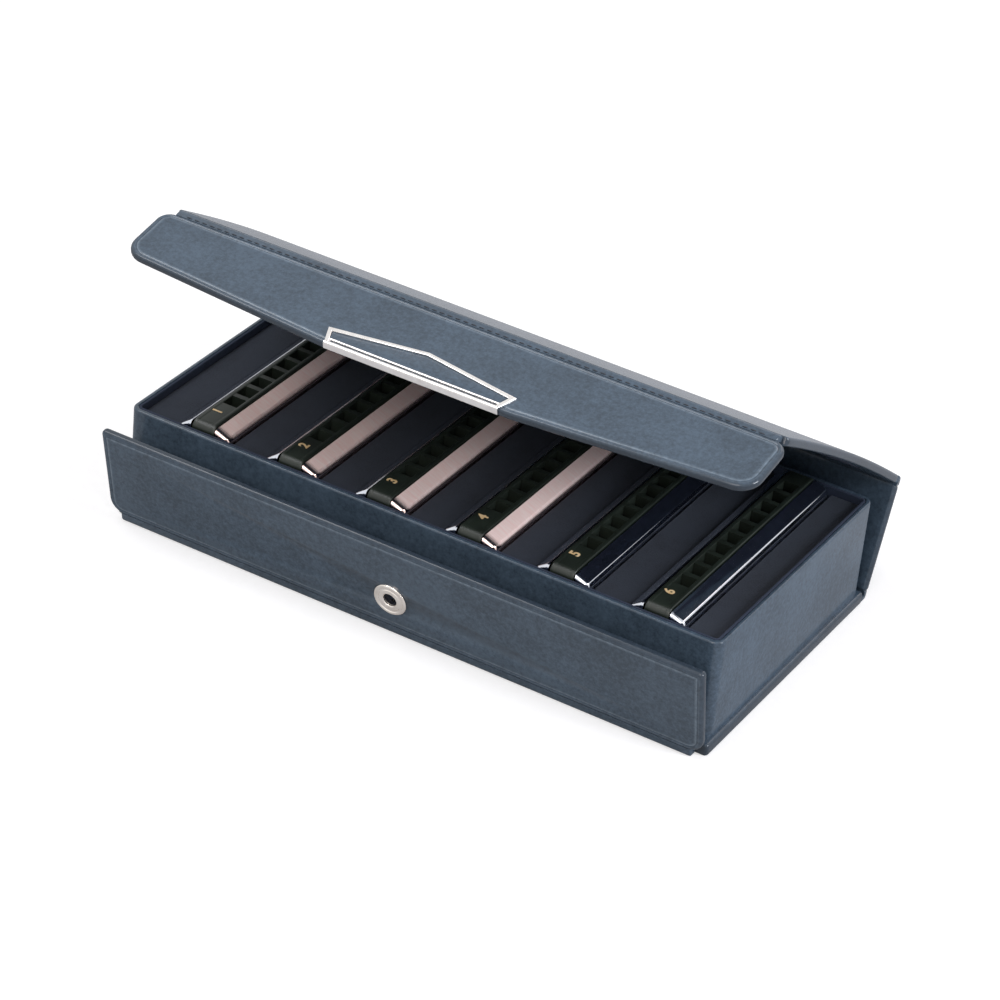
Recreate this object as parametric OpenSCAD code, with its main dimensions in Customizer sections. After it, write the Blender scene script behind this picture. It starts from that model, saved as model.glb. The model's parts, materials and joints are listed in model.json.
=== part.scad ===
// Harmonica case: a leatherette tray on a base board, with a wrap-round cover of hinged panels.
// The cover is a spine, a lid with a flap that carries the clasp plate, and a front flap with the snap socket.
// Six ten-hole harmonicas stand in the insert with their mouthpieces up.
// +X runs along the long side, +Y to the back and +Z up. The origin is the middle of the base's underside.

/* [Harmonicas] */
// Number of harmonicas
harp_count = 6; // [2:1:6]
// Distance from one harmonica to the next
harp_pitch = 35; // [32:0.5:50]
// Length of a harmonica
harp_l = 103; // [98:0.5:130]
// Height of a harmonica, mouthpiece to back
harp_h = 26.5; // [25:0.5:36]
// Width over both cover plates
harp_w = 20.6; // [17:0.2:24]
// Gap between a harmonica's end and the tray lining
end_gap = 0.7; // [0.5:0.1:6]
// Gap between a cover plate and its slot
slot_gap = 0.4; // [0.3:0.1:1]

/* [Comb] */
// Width of the comb at the mouthpiece
comb_head_w = 8.8; // [7.6:0.1:9.6]
// Height of that wider head
comb_head_h = 5; // [3:0.1:7]
// Radius of the comb's two mouth corners
comb_corner = 3; // [0.5:0.1:3]
// Thickness of the comb between the reed plates
comb_t = 6.4; // [5.4:0.1:7]
// Number of blow holes
hole_count = 10; // [4:1:10]
// Distance from one hole to the next
hole_pitch = 8; // [6.6:0.1:8.4]
// Shift of the row of holes, to the high end
hole_shift = 3.3; // [0:0.1:4.5]
// Length of a hole along the comb
hole_l = 5.9; // [3:0.1:6.2]
// Width of a hole across the comb
hole_w = 5.6; // [2:0.1:6.2]
// Depth of the longest air chamber, at the low end
chamber_long = 21; // [18:0.5:21.5]
// Depth of the shortest air chamber, at the high end
chamber_short = 13; // [11:0.5:17]

/* [Reed plates] */
// Thickness of a reed plate
plate_t = 0.9; // [0.6:0.05:1.2]
// Width of a reed slot
reed_slot_w = 2.4; // [1.6:0.1:4]
// Thickness of a reed
reed_t = 0.2; // [0.1:0.05:0.4]
// Gap between a reed and its slot, on each side
reed_gap = 0.15; // [0.1:0.05:0.3]
// Length of a reed's riveted foot
reed_foot = 1.5; // [1:0.1:2]
// Distance of the reed plates from the comb's ends
plate_end = 1; // [0.5:0.1:2]
// Distance of the reed plates from the comb's back
plate_rise = 1; // [0.5:0.1:2]

/* [Cover plates] */
// Gap between a cover plate and the comb's head
cover_gap = 0.5; // [0.1:0.1:1]
// Thickness of the cover plate sheet
sheet_t = 0.45; // [0.3:0.05:0.8]
// Length of a mounting ear
ear_l = 9; // [8:0.5:12]
// Height of a mounting ear
ear_h = 6; // [5:0.5:7]
// Radius of the cover screws
screw_r = 0.95; // [0.6:0.05:1.2]
// Radius of the screw heads and nuts
screw_head_r = 1.8; // [1.6:0.1:2.2]
// Height of the screw heads and nuts
screw_head_h = 1.2; // [0.6:0.1:2]

/* [Insert] */
// Thickness of the insert under the harmonicas
insert_floor = 7.2; // [3:0.1:12]
// Depth of the insert's top, below the rim
insert_drop = 2.6; // [1:0.1:10]
// Width of the insert left of the first slot
left_rib = 14.2; // [8:0.1:40]
// Width of the insert right of the last slot
right_rib = 11.8; // [8:0.1:40]

/* [Tray] */
// Thickness of the leatherette
skin_t = 0.5; // [0.4:0.05:0.8]
// Thickness of the tray's side boards
wall_board_t = 1.15; // [0.8:0.05:1.4]
// Thickness of the tray's floor board
floor_board_t = 2; // [1:0.1:4]
// Thickness of the tray lining
liner_t = 1.05; // [0.6:0.05:1.4]
// Outer corner radius of the tray
tray_corner_r = 4; // [3.8:0.1:6]
// Rounding of the rim's outer edge
rim_r = 1.3; // [0.9:0.1:1.5]
// Height of the rim over the mouthpieces
rim_over = 0.5; // [0.2:0.1:4]
// Width of the leatherette turned under the tray
turn_under = 8; // [6:0.5:20]

/* [Base] */
// Thickness of the base board with its leatherette
base_t = 4.6; // [3:0.1:8]
// Ledge of the base in front of the tray
front_ledge = 2.6; // [2:0.1:6]
// Ledge of the base at each side of the tray
side_ledge = 1.6; // [0.5:0.1:5]
// Ledge of the base behind the tray
back_ledge = 0.2; // [0.1:0.1:3]
// Corner radius of the base, spine and lid
board_corner_r = 1.5; // [1:0.1:4]

/* [Cover panels] */
// Thickness of the board inside a panel
panel_board_t = 2; // [1.4:0.1:3]
// Thickness of the panel lining
lining_t = 0.5; // [0.3:0.05:0.8]
// Width of the leatherette turned over to the inside
turn_in = 10; // [6:0.5:11]
// Distance of the front flap's top edge below the rim
front_flap_drop = 2.1; // [0.5:0.1:6]
// Corner radius of the front flap's free edge
front_flap_r = 1.5; // [1:0.5:8]
// Corner radius of the front flap beside its fold
front_fold_r = 5.5; // [1:0.5:8]
// Corner radius of the lid flap's free edge
lid_flap_r = 8; // [2:0.5:12]
// Corner radius of the lid flap beside its fold
lid_flap_fold_r = 5; // [1:0.5:8]
// How far the lid flap's ends stand out past the lid
lid_flap_over = 2.3; // [0:0.1:4]
// Half width of the lid flap's straight middle, from which the edge runs up to the corners
lid_flap_mid = 35; // [34:0.5:60]
// How much shorter the lid flap is at its ends
lid_flap_taper = 6.6; // [0.5:0.1:8]

/* [Clasp] */
// Sideways place of the clasp, from the middle
clasp_x = -1.2; // [-20:0.1:20]
// Distance of the snap socket from the front fold
socket_up = 14.8; // [12:0.1:18]
// Radius of the snap's cap
cap_r = 6.3; // [5.6:0.1:7]
// Height of the snap's cap
cap_h = 0.9; // [0.8:0.1:1.2]
// Radius of the snap's mouth
mouth_r = 2.7; // [2.6:0.05:2.8]
// Radius of the snap's barrel
barrel_r = 4; // [3.9:0.1:4.6]
// Wall of that barrel
barrel_wall = 0.5; // [0.4:0.05:0.5]
// Thickness of the wire of the snap's spring
spring_wire = 0.6; // [0.4:0.05:0.7]
// Radius of the washer behind the snap
washer_r = 5.5; // [5:0.1:6.5]
// Thickness of that washer
washer_t = 0.7; // [0.4:0.05:0.8]
// Radius of the stud's base
stud_base_r = 3.9; // [3.2:0.1:4.4]
// Thickness of the stud's base
stud_base_h = 0.6; // [0.4:0.05:1]
// Radius of the stud's head
stud_head_r = 2.3; // [1.9:0.05:2.35]
// Radius of the stud's neck
stud_neck_r = 1.8; // [1.7:0.05:1.9]
// Length of the stud from the flap
stud_l = 3.2; // [2.6:0.1:3.6]
// Radius of the rivet that holds the stud
post_r = 1.2; // [1:0.05:1.3]
// Radius of that rivet's head
post_head_r = 3.4; // [2.4:0.1:4]
// Distance of the stud from the lid flap's free edge
stud_edge = 5.4; // [4.5:0.1:8]

/* [Clasp plate] */
// Half width of the clasp plate at its side corners
plate_half_w = 35.2; // [24:0.2:60]
// Slant of each plate end, from the side corner in to the flap's edge
plate_slant = 2.6; // [0:0.1:5]
// Height of the side corners over the flap's edge
plate_corner_h = 6.6; // [5:0.1:9]
// Height of the plate's middle point over the flap's edge
plate_peak_h = 11.8; // [10:0.1:18]
// Width of the plate's upper bars and ends
plate_bar = 1.5; // [1:0.1:2]
// Width of the plate's lower rail
plate_rail = 2.2; // [1.5:0.1:3.5]
// Thickness of the plate
plate_h = 1; // [0.8:0.1:2]
// Width of the lip that wraps the flap's edge
lip_w = 1.8; // [1:0.1:2.5]
// Thickness of that lip
lip_t = 0.8; // [0.5:0.1:1.5]

/* [Resting pose] */
// Rise of the harmonicas, from their seats
harp_rise = 2.9; // [0:0.1:6]
// Lean of the spine, back from upright
spine_lean = 19; // [10:0.5:40]
// Rise of the lid, above level
lid_rise = 32.2; // [28:0.1:60]
// Dip of the lid flap, below level
lid_flap_dip = 11.5; // [0:0.5:45]
// Lean of the front flap, forward from upright
front_flap_lean = 12.5; // [2:0.5:60]

/* [Hidden] */
$fn = 48;
// One overrun for all cuts
over = 1;
// Gap of pieces laid inside one another
fit = 0.05;
// Gap between a fold's bead and the panels beside it
fold_gap = 0.3;
// Gap between the shut lid and the rim
lid_gap = 0.9;
// Gap between the shut front flap and the tray
flap_gap = 0.6;
// Gap between the shut stud's base and the cap
snap_gap = 0.2;
// Gap between a harmonica and the floor of its slot
seat_gap = 0.3;
// Opening of the snap's spring, in degrees
spring_split = 30;
// Groove in the snap's cap: its radius as a share of the cap's height, and its place as a share of the way out
groove_share = 0.25;
groove_place_share = 0.67;
// Thickness of the leatherette in the clasp plate, as a share of the plate's
inlay_share = 0.5;
// Steps in a rounded corner of the lid flap
corner_steps = 8;
// Facets of the small screws, and of a hexagonal nut
screw_facets = 24;
nut_facets = 6;

// Panels and folds
panel_t = skin_t + panel_board_t + max(skin_t, lining_t);
half_t = panel_t / 2;
fold_r = half_t;
fold_edge = fold_r + fold_gap;

// Tray, worked out from the harmonicas that stand in it
slot_w = harp_w + 2 * slot_gap;
seam_in = skin_t + fit + wall_board_t;
liner_in = seam_in + fit;
wall_t = liner_in + liner_t;
tray_l = 2 * wall_t + left_rib + right_rib + (harp_count - 1) * harp_pitch + slot_w;
tray_d = 2 * (wall_t + end_gap) + harp_l;
tray_floor = skin_t + floor_board_t;
tray_h = tray_floor + insert_floor + seat_gap + harp_h + rim_over;
first_x = -tray_l / 2 + wall_t + left_rib + slot_w / 2;

// Base, and the tray's place on it
base_w = tray_l + 2 * side_ledge;
base_d = front_ledge + tray_d + back_ledge;
tray_y = front_ledge - base_d / 2 + tray_d / 2;
tray_front = tray_y - tray_d / 2;
rim_z = base_t + tray_h;
harp_top = rim_z - rim_over;

// Fold places are [y, z]
spine_len = rim_z + lid_gap;
spine_at = [base_d / 2 + fold_edge, fold_r];
front_at = [-base_d / 2 - fold_edge, fold_r];
front_flap_len = rim_z - front_flap_drop - fold_r;

// Lean of the shut front flap, in towards the tray
shut_reach = norm([front_flap_len, half_t]);
shut_lean = asin((tray_front - flap_gap - front_at[0]) / shut_reach) - atan(half_t / front_flap_len);

// The lid's front fold lies where the shut lid flap clears the snap
socket_face = front_at[0] + socket_up * sin(shut_lean) - half_t * cos(shut_lean);
lid_fold_y = socket_face - cap_h - cap_r * sin(shut_lean) - snap_gap - stud_base_h - half_t;
lid_len = spine_at[0] - lid_fold_y;

// The stud meets the socket when all is shut
stud_z = fold_r + socket_up * cos(shut_lean) + half_t * sin(shut_lean) / 2;
stud_down = fold_r + spine_len - stud_z;
lid_flap_len = stud_down + stud_edge;

// Fold places at rest
lid_back_at = spine_at + spine_len * [sin(spine_lean), cos(spine_lean)];
lid_front_at = lid_back_at + lid_len * [-cos(lid_rise), sin(lid_rise)];

// Comb and cover plates
comb_y = tray_y - harp_l / 2;
first_hole = (harp_l - (hole_count - 1) * hole_pitch) / 2 + hole_shift;
plate_in = comb_t / 2 + fit;
plate_out = plate_in + plate_t;
plate_top = comb_head_h + fit;
plate_low = harp_h - plate_rise;
cover_in = max(comb_head_w / 2 + cover_gap, plate_out + reed_t + fit);
ear_in = plate_out + fit;
screw_y = ear_l / 2;
screw_down = plate_low - ear_h / 2;

HARP_PIECES = ["comb", "reed_plates", "left_cover", "right_cover", "screws"];

// Colours as they look on the object
leatherette = "#3c4656";
lining_navy = "#1b2233";
grey_board = "#8c877d";
chrome = "#cfcac6";
black_comb = "#15181a";
reed_brass = "#b49a5a";

// What lies outside a rounded corner at the origin, which fills the quarter below and left of it
module corner_cut(r) {
    difference() {
        translate([-r, -r]) square(r + over);
        translate([-r, -r]) circle(r);
    }
}

// Flat outline from y0 to y1, with corner radius r0 at y0 and r1 at y1
module outline(half_w, y0, y1, r0, r1) {
    difference() {
        translate([-half_w, y0]) square([2 * half_w, y1 - y0]);
        for (side = [0, 1]) mirror([side, 0]) {
            translate([half_w, y1]) corner_cut(r1);
            translate([half_w, y0]) mirror([0, 1]) corner_cut(r0);
        }
    }
}

// Rounded rectangle about the origin
module rounded(l, d, r) {
    outline(l / 2, -d / 2, d / 2, r, r);
}

// A wall section carried round a rounded rectangle: section x is the distance in from the outer face
module wall_round(l, d, r) {
    for (turn = [0, 180]) rotate(turn) {
        translate([0, -d / 2]) rotate([90, 0, 90])
            translate([0, 0, r - l / 2]) linear_extrude(l - 2 * r) children();
        translate([l / 2, 0]) rotate([90, 0, 180])
            translate([0, 0, r - d / 2]) linear_extrude(d - 2 * r) children();
        for (side = [-1, 1]) translate([side * (l / 2 - r), r - d / 2]) rotate(side < 0 ? 180 : 270)
            rotate_extrude(angle = 90) translate([r, 0]) mirror([1, 0]) children();
    }
}

// Points of an outline moved in by t, on the right hand of the way they run
function unit(v) = v / norm(v);
function side_of(a, b) = let (d = unit(b - a)) [-d[1], d[0]];
function moved_in(p, t) = [
    for (i = [0:len(p) - 1])
        let (
            last = len(p) - 1,
            before = side_of(p[max(i, 1) - 1], p[max(i, 1)]),
            after = side_of(p[min(i, last - 1)], p[min(i, last - 1) + 1]),
            m = unit(before + after)
        ) p[i] - m * t / (m * before)
];
function turned(p) = [for (i = [len(p) - 1:-1:0]) p[i]];

// Base: a board wrapped in leatherette that is turned in over its top
module base_cover() {
    color(leatherette) difference() {
        linear_extrude(base_t) rounded(base_w, base_d, board_corner_r);
        translate([0, 0, skin_t]) linear_extrude(base_t - 2 * skin_t)
            rounded(base_w - 2 * skin_t, base_d - 2 * skin_t, board_corner_r - skin_t);
        translate([0, 0, base_t - skin_t - fit]) linear_extrude(skin_t + over)
            rounded(base_w - 2 * turn_in, base_d - 2 * turn_in, board_corner_r);
    }
}

module base_board() {
    inset = 2 * (skin_t + fit);
    color(grey_board) translate([0, 0, skin_t]) linear_extrude(base_t - 2 * skin_t - fit)
        rounded(base_w - inset, base_d - inset, board_corner_r - skin_t);
}

// Tray, in its own place: the origin under its middle
module at_tray() {
    translate([0, tray_y, base_t]) children();
}

module rim_cut(x, z, r) {
    translate([x, z]) mirror([1, 0]) corner_cut(r);
}

module tray_skin() {
    color(leatherette) at_tray() {
        wall_round(tray_l, tray_d, tray_corner_r) difference() {
            square([seam_in, tray_h]);
            rim_cut(0, tray_h, rim_r);
            difference() {
                translate([skin_t, -over]) square([seam_in, tray_h - skin_t + over]);
                rim_cut(skin_t, tray_h - skin_t, rim_r - skin_t);
            }
        }
        linear_extrude(skin_t) difference() {
            rounded(tray_l, tray_d, tray_corner_r);
            rounded(tray_l - 2 * turn_under, tray_d - 2 * turn_under, tray_corner_r);
        }
    }
}

module tray_box() {
    out = skin_t + fit;
    color(grey_board) at_tray() {
        wall_round(tray_l, tray_d, tray_corner_r) difference() {
            translate([out, skin_t]) square([wall_board_t, tray_h - 2 * skin_t - fit]);
            rim_cut(out, tray_h - skin_t - fit, rim_r - skin_t);
        }
        translate([0, 0, skin_t]) linear_extrude(floor_board_t)
            rounded(tray_l - 2 * out, tray_d - 2 * out, tray_corner_r - out);
    }
}

module tray_liner() {
    color(lining_navy) at_tray() wall_round(tray_l, tray_d, tray_corner_r)
        translate([liner_in, tray_floor]) square([liner_t, tray_h - tray_floor]);
}

// Insert, with one slot for each harmonica
module slot_insert() {
    inset = 2 * (wall_t + fit);
    color(lining_navy) at_tray() difference() {
        translate([0, 0, tray_floor]) linear_extrude(tray_h - insert_drop - tray_floor)
            rounded(tray_l - inset, tray_d - inset, tray_corner_r - wall_t - fit);
        for (i = [0:harp_count - 1])
            cut_block(first_x + i * harp_pitch - slot_w / 2, first_x + i * harp_pitch + slot_w / 2, tray_floor + insert_floor);
    }
}

// Cuts from front to back, between two sideways places and above z
module cut_block(x0, x1, z) {
    translate([x0, -tray_d, z]) cube([x1 - x0, 2 * tray_d, tray_h]);
}

// Bead of leatherette where two panels fold
module fold_bead(at) {
    color(leatherette) translate([0, at[0], at[1]]) rotate([0, 90, 0])
        cylinder(r = fold_r, h = base_w - 2 * board_corner_r, center = true);
}

module spine_fold() { fold_bead(spine_at); }
module front_fold() { fold_bead(front_at); }
module lid_fold() { fold_bead(lid_back_at); }
module lid_flap_fold() { fold_bead(lid_front_at); }

// A panel lies along +Y from its fold, with its outer face up at half_t
inner_t = max(skin_t, lining_t);
board_low = inner_t - half_t;
board_high = half_t - skin_t;

module panel_skin(y1, r0, r1) {
    wrapped_skin(y1) {
        outline(base_w / 2, fold_edge, y1, r0, r1);
        outline(base_w / 2 - skin_t, fold_edge + skin_t, y1 - skin_t, r0 - skin_t, r1 - skin_t);
        children();
    }
}

// The first child is the leatherette's outline, the second the board's, and the third is cut out
module wrapped_skin(y1) {
    color(leatherette) difference() {
        translate([0, 0, -half_t]) linear_extrude(panel_t) children(0);
        translate([0, 0, board_low]) linear_extrude(panel_board_t) children(1);
        translate([0, 0, -half_t - over]) linear_extrude(inner_t + over + fit)
            outline(base_w / 2 - turn_in, fold_edge + turn_in, y1 - turn_in, board_corner_r, board_corner_r);
        children(2);
    }
}

module panel_board(y1, r0, r1) {
    in = skin_t + fit;
    color(grey_board) difference() {
        translate([0, 0, board_low]) linear_extrude(panel_board_t - fit)
            outline(base_w / 2 - in, fold_edge + in, y1 - in, r0 - skin_t, r1 - skin_t);
        children();
    }
}

module panel_lining(y1) {
    in = turn_in + fit;
    color(lining_navy) difference() {
        translate([0, 0, board_low - lining_t]) linear_extrude(lining_t)
            outline(base_w / 2 - in, fold_edge + in, y1 - in, board_corner_r, board_corner_r);
        children();
    }
}

module hole_at(y, r) {
    translate([clasp_x, y, 0]) cylinder(r = r, h = 2 * (panel_t + over), center = true);
}

// Spine, from the base's back fold up to the lid
spine_end = spine_len - fold_edge;

module on_spine() {
    translate([0, spine_at[0], spine_at[1]]) rotate([90 - spine_lean, 0, 0]) mirror([0, 0, 1]) children();
}

module spine_cover() { on_spine() panel_skin(spine_end, board_corner_r, board_corner_r); }
module spine_board() { on_spine() panel_board(spine_end, board_corner_r, board_corner_r); }
module spine_lining() { on_spine() panel_lining(spine_end); }

// Lid, from the spine's top to the lid flap
lid_end = lid_len - fold_edge;

module on_lid() {
    translate([0, lid_back_at[0], lid_back_at[1]]) rotate([180 - lid_rise, 0, 0]) mirror([0, 0, 1]) children();
}

module lid_cover() { on_lid() panel_skin(lid_end, board_corner_r, board_corner_r); }
module lid_board() { on_lid() panel_board(lid_end, board_corner_r, board_corner_r); }
module lid_lining() { on_lid() panel_lining(lid_end); }

// Lid flap, with the stud inside it and the clasp plate on its outer face
stud_y = lid_flap_len - stud_edge;

module on_lid_flap() {
    translate([0, lid_front_at[0], lid_front_at[1]]) rotate([180 + lid_flap_dip, 0, 0]) mirror([0, 0, 1]) children();
}

// Right half of the lid flap's outline, moved in by t
flap_w = base_w / 2 + lid_flap_over;
flap_turn = atan(lid_flap_taper / (flap_w - lid_flap_mid));
flap_corner = [
    flap_w - lid_flap_r,
    lid_flap_len - (lid_flap_r + sin(flap_turn) * (flap_w - lid_flap_r - lid_flap_mid)) / cos(flap_turn)
];
function arc(c, r, a0, a1) = [for (k = [0:corner_steps]) let (a = a0 + (a1 - a0) * k / corner_steps) c + r * [cos(a), sin(a)]];
function half_flap(t) = concat(
    arc([flap_w - lid_flap_fold_r, fold_edge + lid_flap_fold_r], lid_flap_fold_r - t, -90, 0),
    arc(flap_corner, lid_flap_r - t, 0, 90 - flap_turn),
    [[lid_flap_mid - t * tan(flap_turn / 2), lid_flap_len - t]]
);

module flap_outline(t) {
    half = half_flap(t);
    polygon(concat(half, [for (p = turned(half)) [-p[0], p[1]]]));
}

module lid_flap_cover() {
    on_lid_flap() wrapped_skin(lid_flap_len) {
        flap_outline(0);
        flap_outline(skin_t);
        union() {
            hole_at(stud_y, post_r + fit);
            translate([clasp_x, stud_y, board_high - fit]) cylinder(r = post_head_r + fit, h = skin_t + over);
        }
    }
}

module lid_flap_board() {
    color(grey_board) on_lid_flap() difference() {
        translate([0, 0, board_low]) linear_extrude(panel_board_t - fit) flap_outline(skin_t + fit);
        hole_at(stud_y, post_r + fit);
    }
}

module lid_flap_lining() { on_lid_flap() panel_lining(lid_flap_len) hole_at(stud_y, stud_base_r + fit); }

// Stud of the snap: a base, a neck and a rounded head, hollow for its rivet
head_h = (stud_l - stud_base_h) / 2;
bore_h = stud_l - head_h / 2;

module snap_stud() {
    color(chrome) on_lid_flap() translate([clasp_x, stud_y, -half_t]) mirror([0, 0, 1]) rotate_extrude() difference() {
        union() {
            square([stud_base_r, stud_base_h]);
            square([stud_neck_r, stud_l - head_h / 2]);
            difference() {
                translate([0, stud_l - head_h]) square([stud_head_r, head_h]);
                translate([stud_head_r, stud_l]) corner_cut(head_h / 2);
            }
        }
        translate([-over, -over]) square([over + post_r + fit, over + bore_h]);
    }
}

module stud_post() {
    color(chrome) on_lid_flap() translate([clasp_x, stud_y, 0]) {
        translate([0, 0, board_high]) cylinder(r = post_head_r, h = skin_t - fit);
        translate([0, 0, fit - half_t - bore_h]) cylinder(r = post_r, h = bore_h + half_t + board_high);
    }
}

// Clasp plate: a five-cornered frame, drawn with its lower edge along x and its middle point up
plate_low_w = plate_half_w - plate_slant;
PLATE = [
    [-plate_low_w, 0], [plate_low_w, 0], [plate_half_w, plate_corner_h], [0, plate_peak_h], [-plate_half_w, plate_corner_h]
];

module plate_bars(more) {
    for (i = [0:len(PLATE) - 1]) {
        p = PLATE[i];
        q = PLATE[(i + 1) % len(PLATE)];
        translate(p) rotate(atan2(q[1] - p[1], q[0] - p[0])) translate([-over, -over])
            square([norm(q - p) + 2 * over, over + more + (i == 0 ? plate_rail : plate_bar)]);
    }
}

module on_flap_edge() {
    on_lid_flap() translate([clasp_x, lid_flap_len, half_t]) children();
}

module trim_frame() {
    color(chrome) on_flap_edge() {
        mirror([0, 1, 0]) linear_extrude(plate_h) intersection() {
            polygon(PLATE);
            plate_bars(0);
        }
        translate([-plate_low_w, 0, -lip_w]) cube([2 * plate_low_w, lip_t, lip_w + plate_h]);
    }
}

module trim_inlay() {
    color(leatherette) on_flap_edge() mirror([0, 1, 0]) linear_extrude(plate_h * inlay_share) difference() {
        polygon(PLATE);
        plate_bars(fit);
    }
}

// Front flap, hinged at the base's front edge, with the snap socket
module on_front_flap() {
    translate([0, front_at[0], front_at[1]]) rotate([90 + front_flap_lean, 0, 0]) children();
}

module front_flap_cover() {
    on_front_flap() panel_skin(front_flap_len, front_fold_r, front_flap_r) hole_at(socket_up, barrel_r + fit);
}

module front_flap_board() {
    on_front_flap() panel_board(front_flap_len, front_fold_r, front_flap_r) hole_at(socket_up, barrel_r + fit);
}

module front_flap_lining() { on_front_flap() panel_lining(front_flap_len) hole_at(socket_up, barrel_r + fit); }

// Snap socket, about its own axis: z is 0 on the flap's outer face
module at_socket() {
    on_front_flap() translate([clasp_x, socket_up, half_t]) children();
}

module snap_cap() {
    groove_r = cap_h * groove_share;
    through = panel_t + washer_t;
    color(chrome) at_socket() rotate_extrude() {
        difference() {
            translate([mouth_r, 0]) square([cap_r - mouth_r, cap_h]);
            translate([cap_r, cap_h]) corner_cut(cap_h / 2);
            translate([mouth_r + (cap_r - mouth_r) * groove_place_share, cap_h]) circle(groove_r);
        }
        translate([barrel_r - barrel_wall, -through]) square([barrel_wall, through + cap_h / 2]);
    }
}

module snap_spring() {
    coil_r = barrel_r - barrel_wall - fit - spring_wire / 2;
    color(chrome) at_socket() translate([0, 0, -fit - spring_wire / 2]) rotate(spring_split / 2)
        rotate_extrude(angle = 360 - spring_split) translate([coil_r, 0]) circle(spring_wire / 2);
}

module snap_back() {
    color(chrome) at_socket() translate([0, 0, -panel_t - washer_t]) difference() {
        cylinder(r = washer_r, h = washer_t);
        translate([0, 0, -over]) cylinder(r = barrel_r + fit, h = washer_t + 2 * over);
    }
}

// A harmonica stands with its mouthpiece at z 0, its low end at y 0 and its middle at x 0
module at_harmonica(i) {
    translate([first_x + (i - 1) * harp_pitch, comb_y, harp_top + harp_rise]) children();
}

function hole_y(k) = first_hole + k * hole_pitch;
function chamber_h(k) = chamber_long - (chamber_long - chamber_short) * k / (hole_count - 1);

module screw_holes() {
    for (y = [screw_y, harp_l - screw_y]) translate([0, y, -screw_down]) rotate([0, 90, 0])
        cylinder(r = screw_r + fit, h = harp_w, center = true, $fn = screw_facets);
}

module comb(i) {
    color(black_comb) at_harmonica(i) difference() {
        union() {
            translate([-comb_head_w / 2, 0, 0]) rotate([90, 0, 90]) linear_extrude(comb_head_w) polygon(concat(
                [[0, -comb_head_h], [harp_l, -comb_head_h]],
                arc([harp_l - comb_corner, -comb_corner], comb_corner, 0, 90),
                arc([comb_corner, -comb_corner], comb_corner, 90, 180)
            ));
            translate([-comb_t / 2, 0, -harp_h]) cube([comb_t, harp_l, harp_h - comb_head_h]);
        }
        for (k = [0:hole_count - 1]) translate([0, hole_y(k) - hole_l / 2, 0]) {
            translate([-hole_w / 2, 0, -comb_head_h - over]) cube([hole_w, hole_l, comb_head_h + 2 * over]);
            translate([-comb_t, 0, -chamber_h(k)]) cube([2 * comb_t, hole_l, chamber_h(k) - comb_head_h]);
        }
        screw_holes();
    }
}

// Reed plates: a slot under each hole, and over it a reed that is riveted at its foot
module reed_plate() {
    slot_top = plate_top + reed_foot;
    difference() {
        translate([plate_in, plate_end, -plate_low]) cube([plate_t, harp_l - 2 * plate_end, plate_low - plate_top]);
        for (k = [0:hole_count - 1]) {
            slot_h = chamber_h(k) - reed_foot - slot_top;
            translate([plate_in - over, hole_y(k) - reed_slot_w / 2, -slot_top - slot_h])
                cube([plate_t + 2 * over, reed_slot_w, slot_h]);
        }
        screw_holes();
    }
    for (k = [0:hole_count - 1]) {
        reed_h = chamber_h(k) - 2 * reed_gap - slot_top;
        translate([plate_out, hole_y(k) - reed_slot_w / 2 + reed_gap, -slot_top - reed_gap - reed_h])
            cube([reed_t, reed_slot_w - 2 * reed_gap, reed_h]);
    }
}

module reed_plates(i) {
    color(reed_brass) at_harmonica(i) for (side = [0, 1]) mirror([side, 0, 0]) reed_plate();
}

// Cover plate: [share of the way out from the comb, share of the harmonica's height]
cover_shares = [
    [0, 0.022], [0.1, 0.032], [0.25, 0.044], [0.78, 0.087], [0.93, 0.115], [1, 0.165], [1, 0.755], [0.88, 0.887], [0.76, 0.913]
];
cover_line = [for (s = cover_shares) [cover_in + s[0] * (harp_w / 2 - cover_in), -s[1] * harp_h]];
cover_inner = [for (p = moved_in(cover_line, sheet_t)) [max(p[0], cover_in), p[1]]];

module along_harmonica(y, l) {
    translate([0, y + l, 0]) rotate([90, 0, 0]) linear_extrude(l) children();
}

module cover_plate() {
    color(chrome) difference() {
        union() {
            along_harmonica(0, harp_l) polygon(concat(cover_line, turned(cover_inner)));
            for (y = [0, harp_l - sheet_t]) along_harmonica(y, sheet_t) polygon(concat(cover_line, [
                [ear_in, -plate_low], [ear_in, -plate_top - fit], [cover_in, -plate_top - fit]
            ]));
            for (y = [0, harp_l - ear_l]) translate([ear_in, y, -plate_low]) cube([sheet_t, ear_l, ear_h]);
        }
        translate([ear_in + sheet_t + over - harp_w / 2, 0, 0]) screw_holes();
    }
}

module left_cover(i) { at_harmonica(i) mirror([1, 0, 0]) cover_plate(); }
module right_cover(i) { at_harmonica(i) cover_plate(); }

// Two cover screws with their heads on the right and their nuts on the left
module screws(i) {
    ear_out = ear_in + sheet_t;
    color(chrome) at_harmonica(i) for (y = [screw_y, harp_l - screw_y])
        translate([0, y, -screw_down]) rotate([0, 90, 0]) {
            translate([0, 0, -ear_out - screw_head_h]) cylinder(r = screw_r, h = 2 * ear_out + screw_head_h, $fn = screw_facets);
            translate([0, 0, ear_out]) cylinder(r = screw_head_r, h = screw_head_h, $fn = screw_facets);
            translate([0, 0, -ear_out - screw_head_h]) difference() {
                cylinder(r = screw_head_r, h = screw_head_h, $fn = nut_facets);
                translate([0, 0, -over]) cylinder(r = screw_r + fit, h = screw_head_h + 2 * over, $fn = screw_facets);
            }
        }
}

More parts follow.
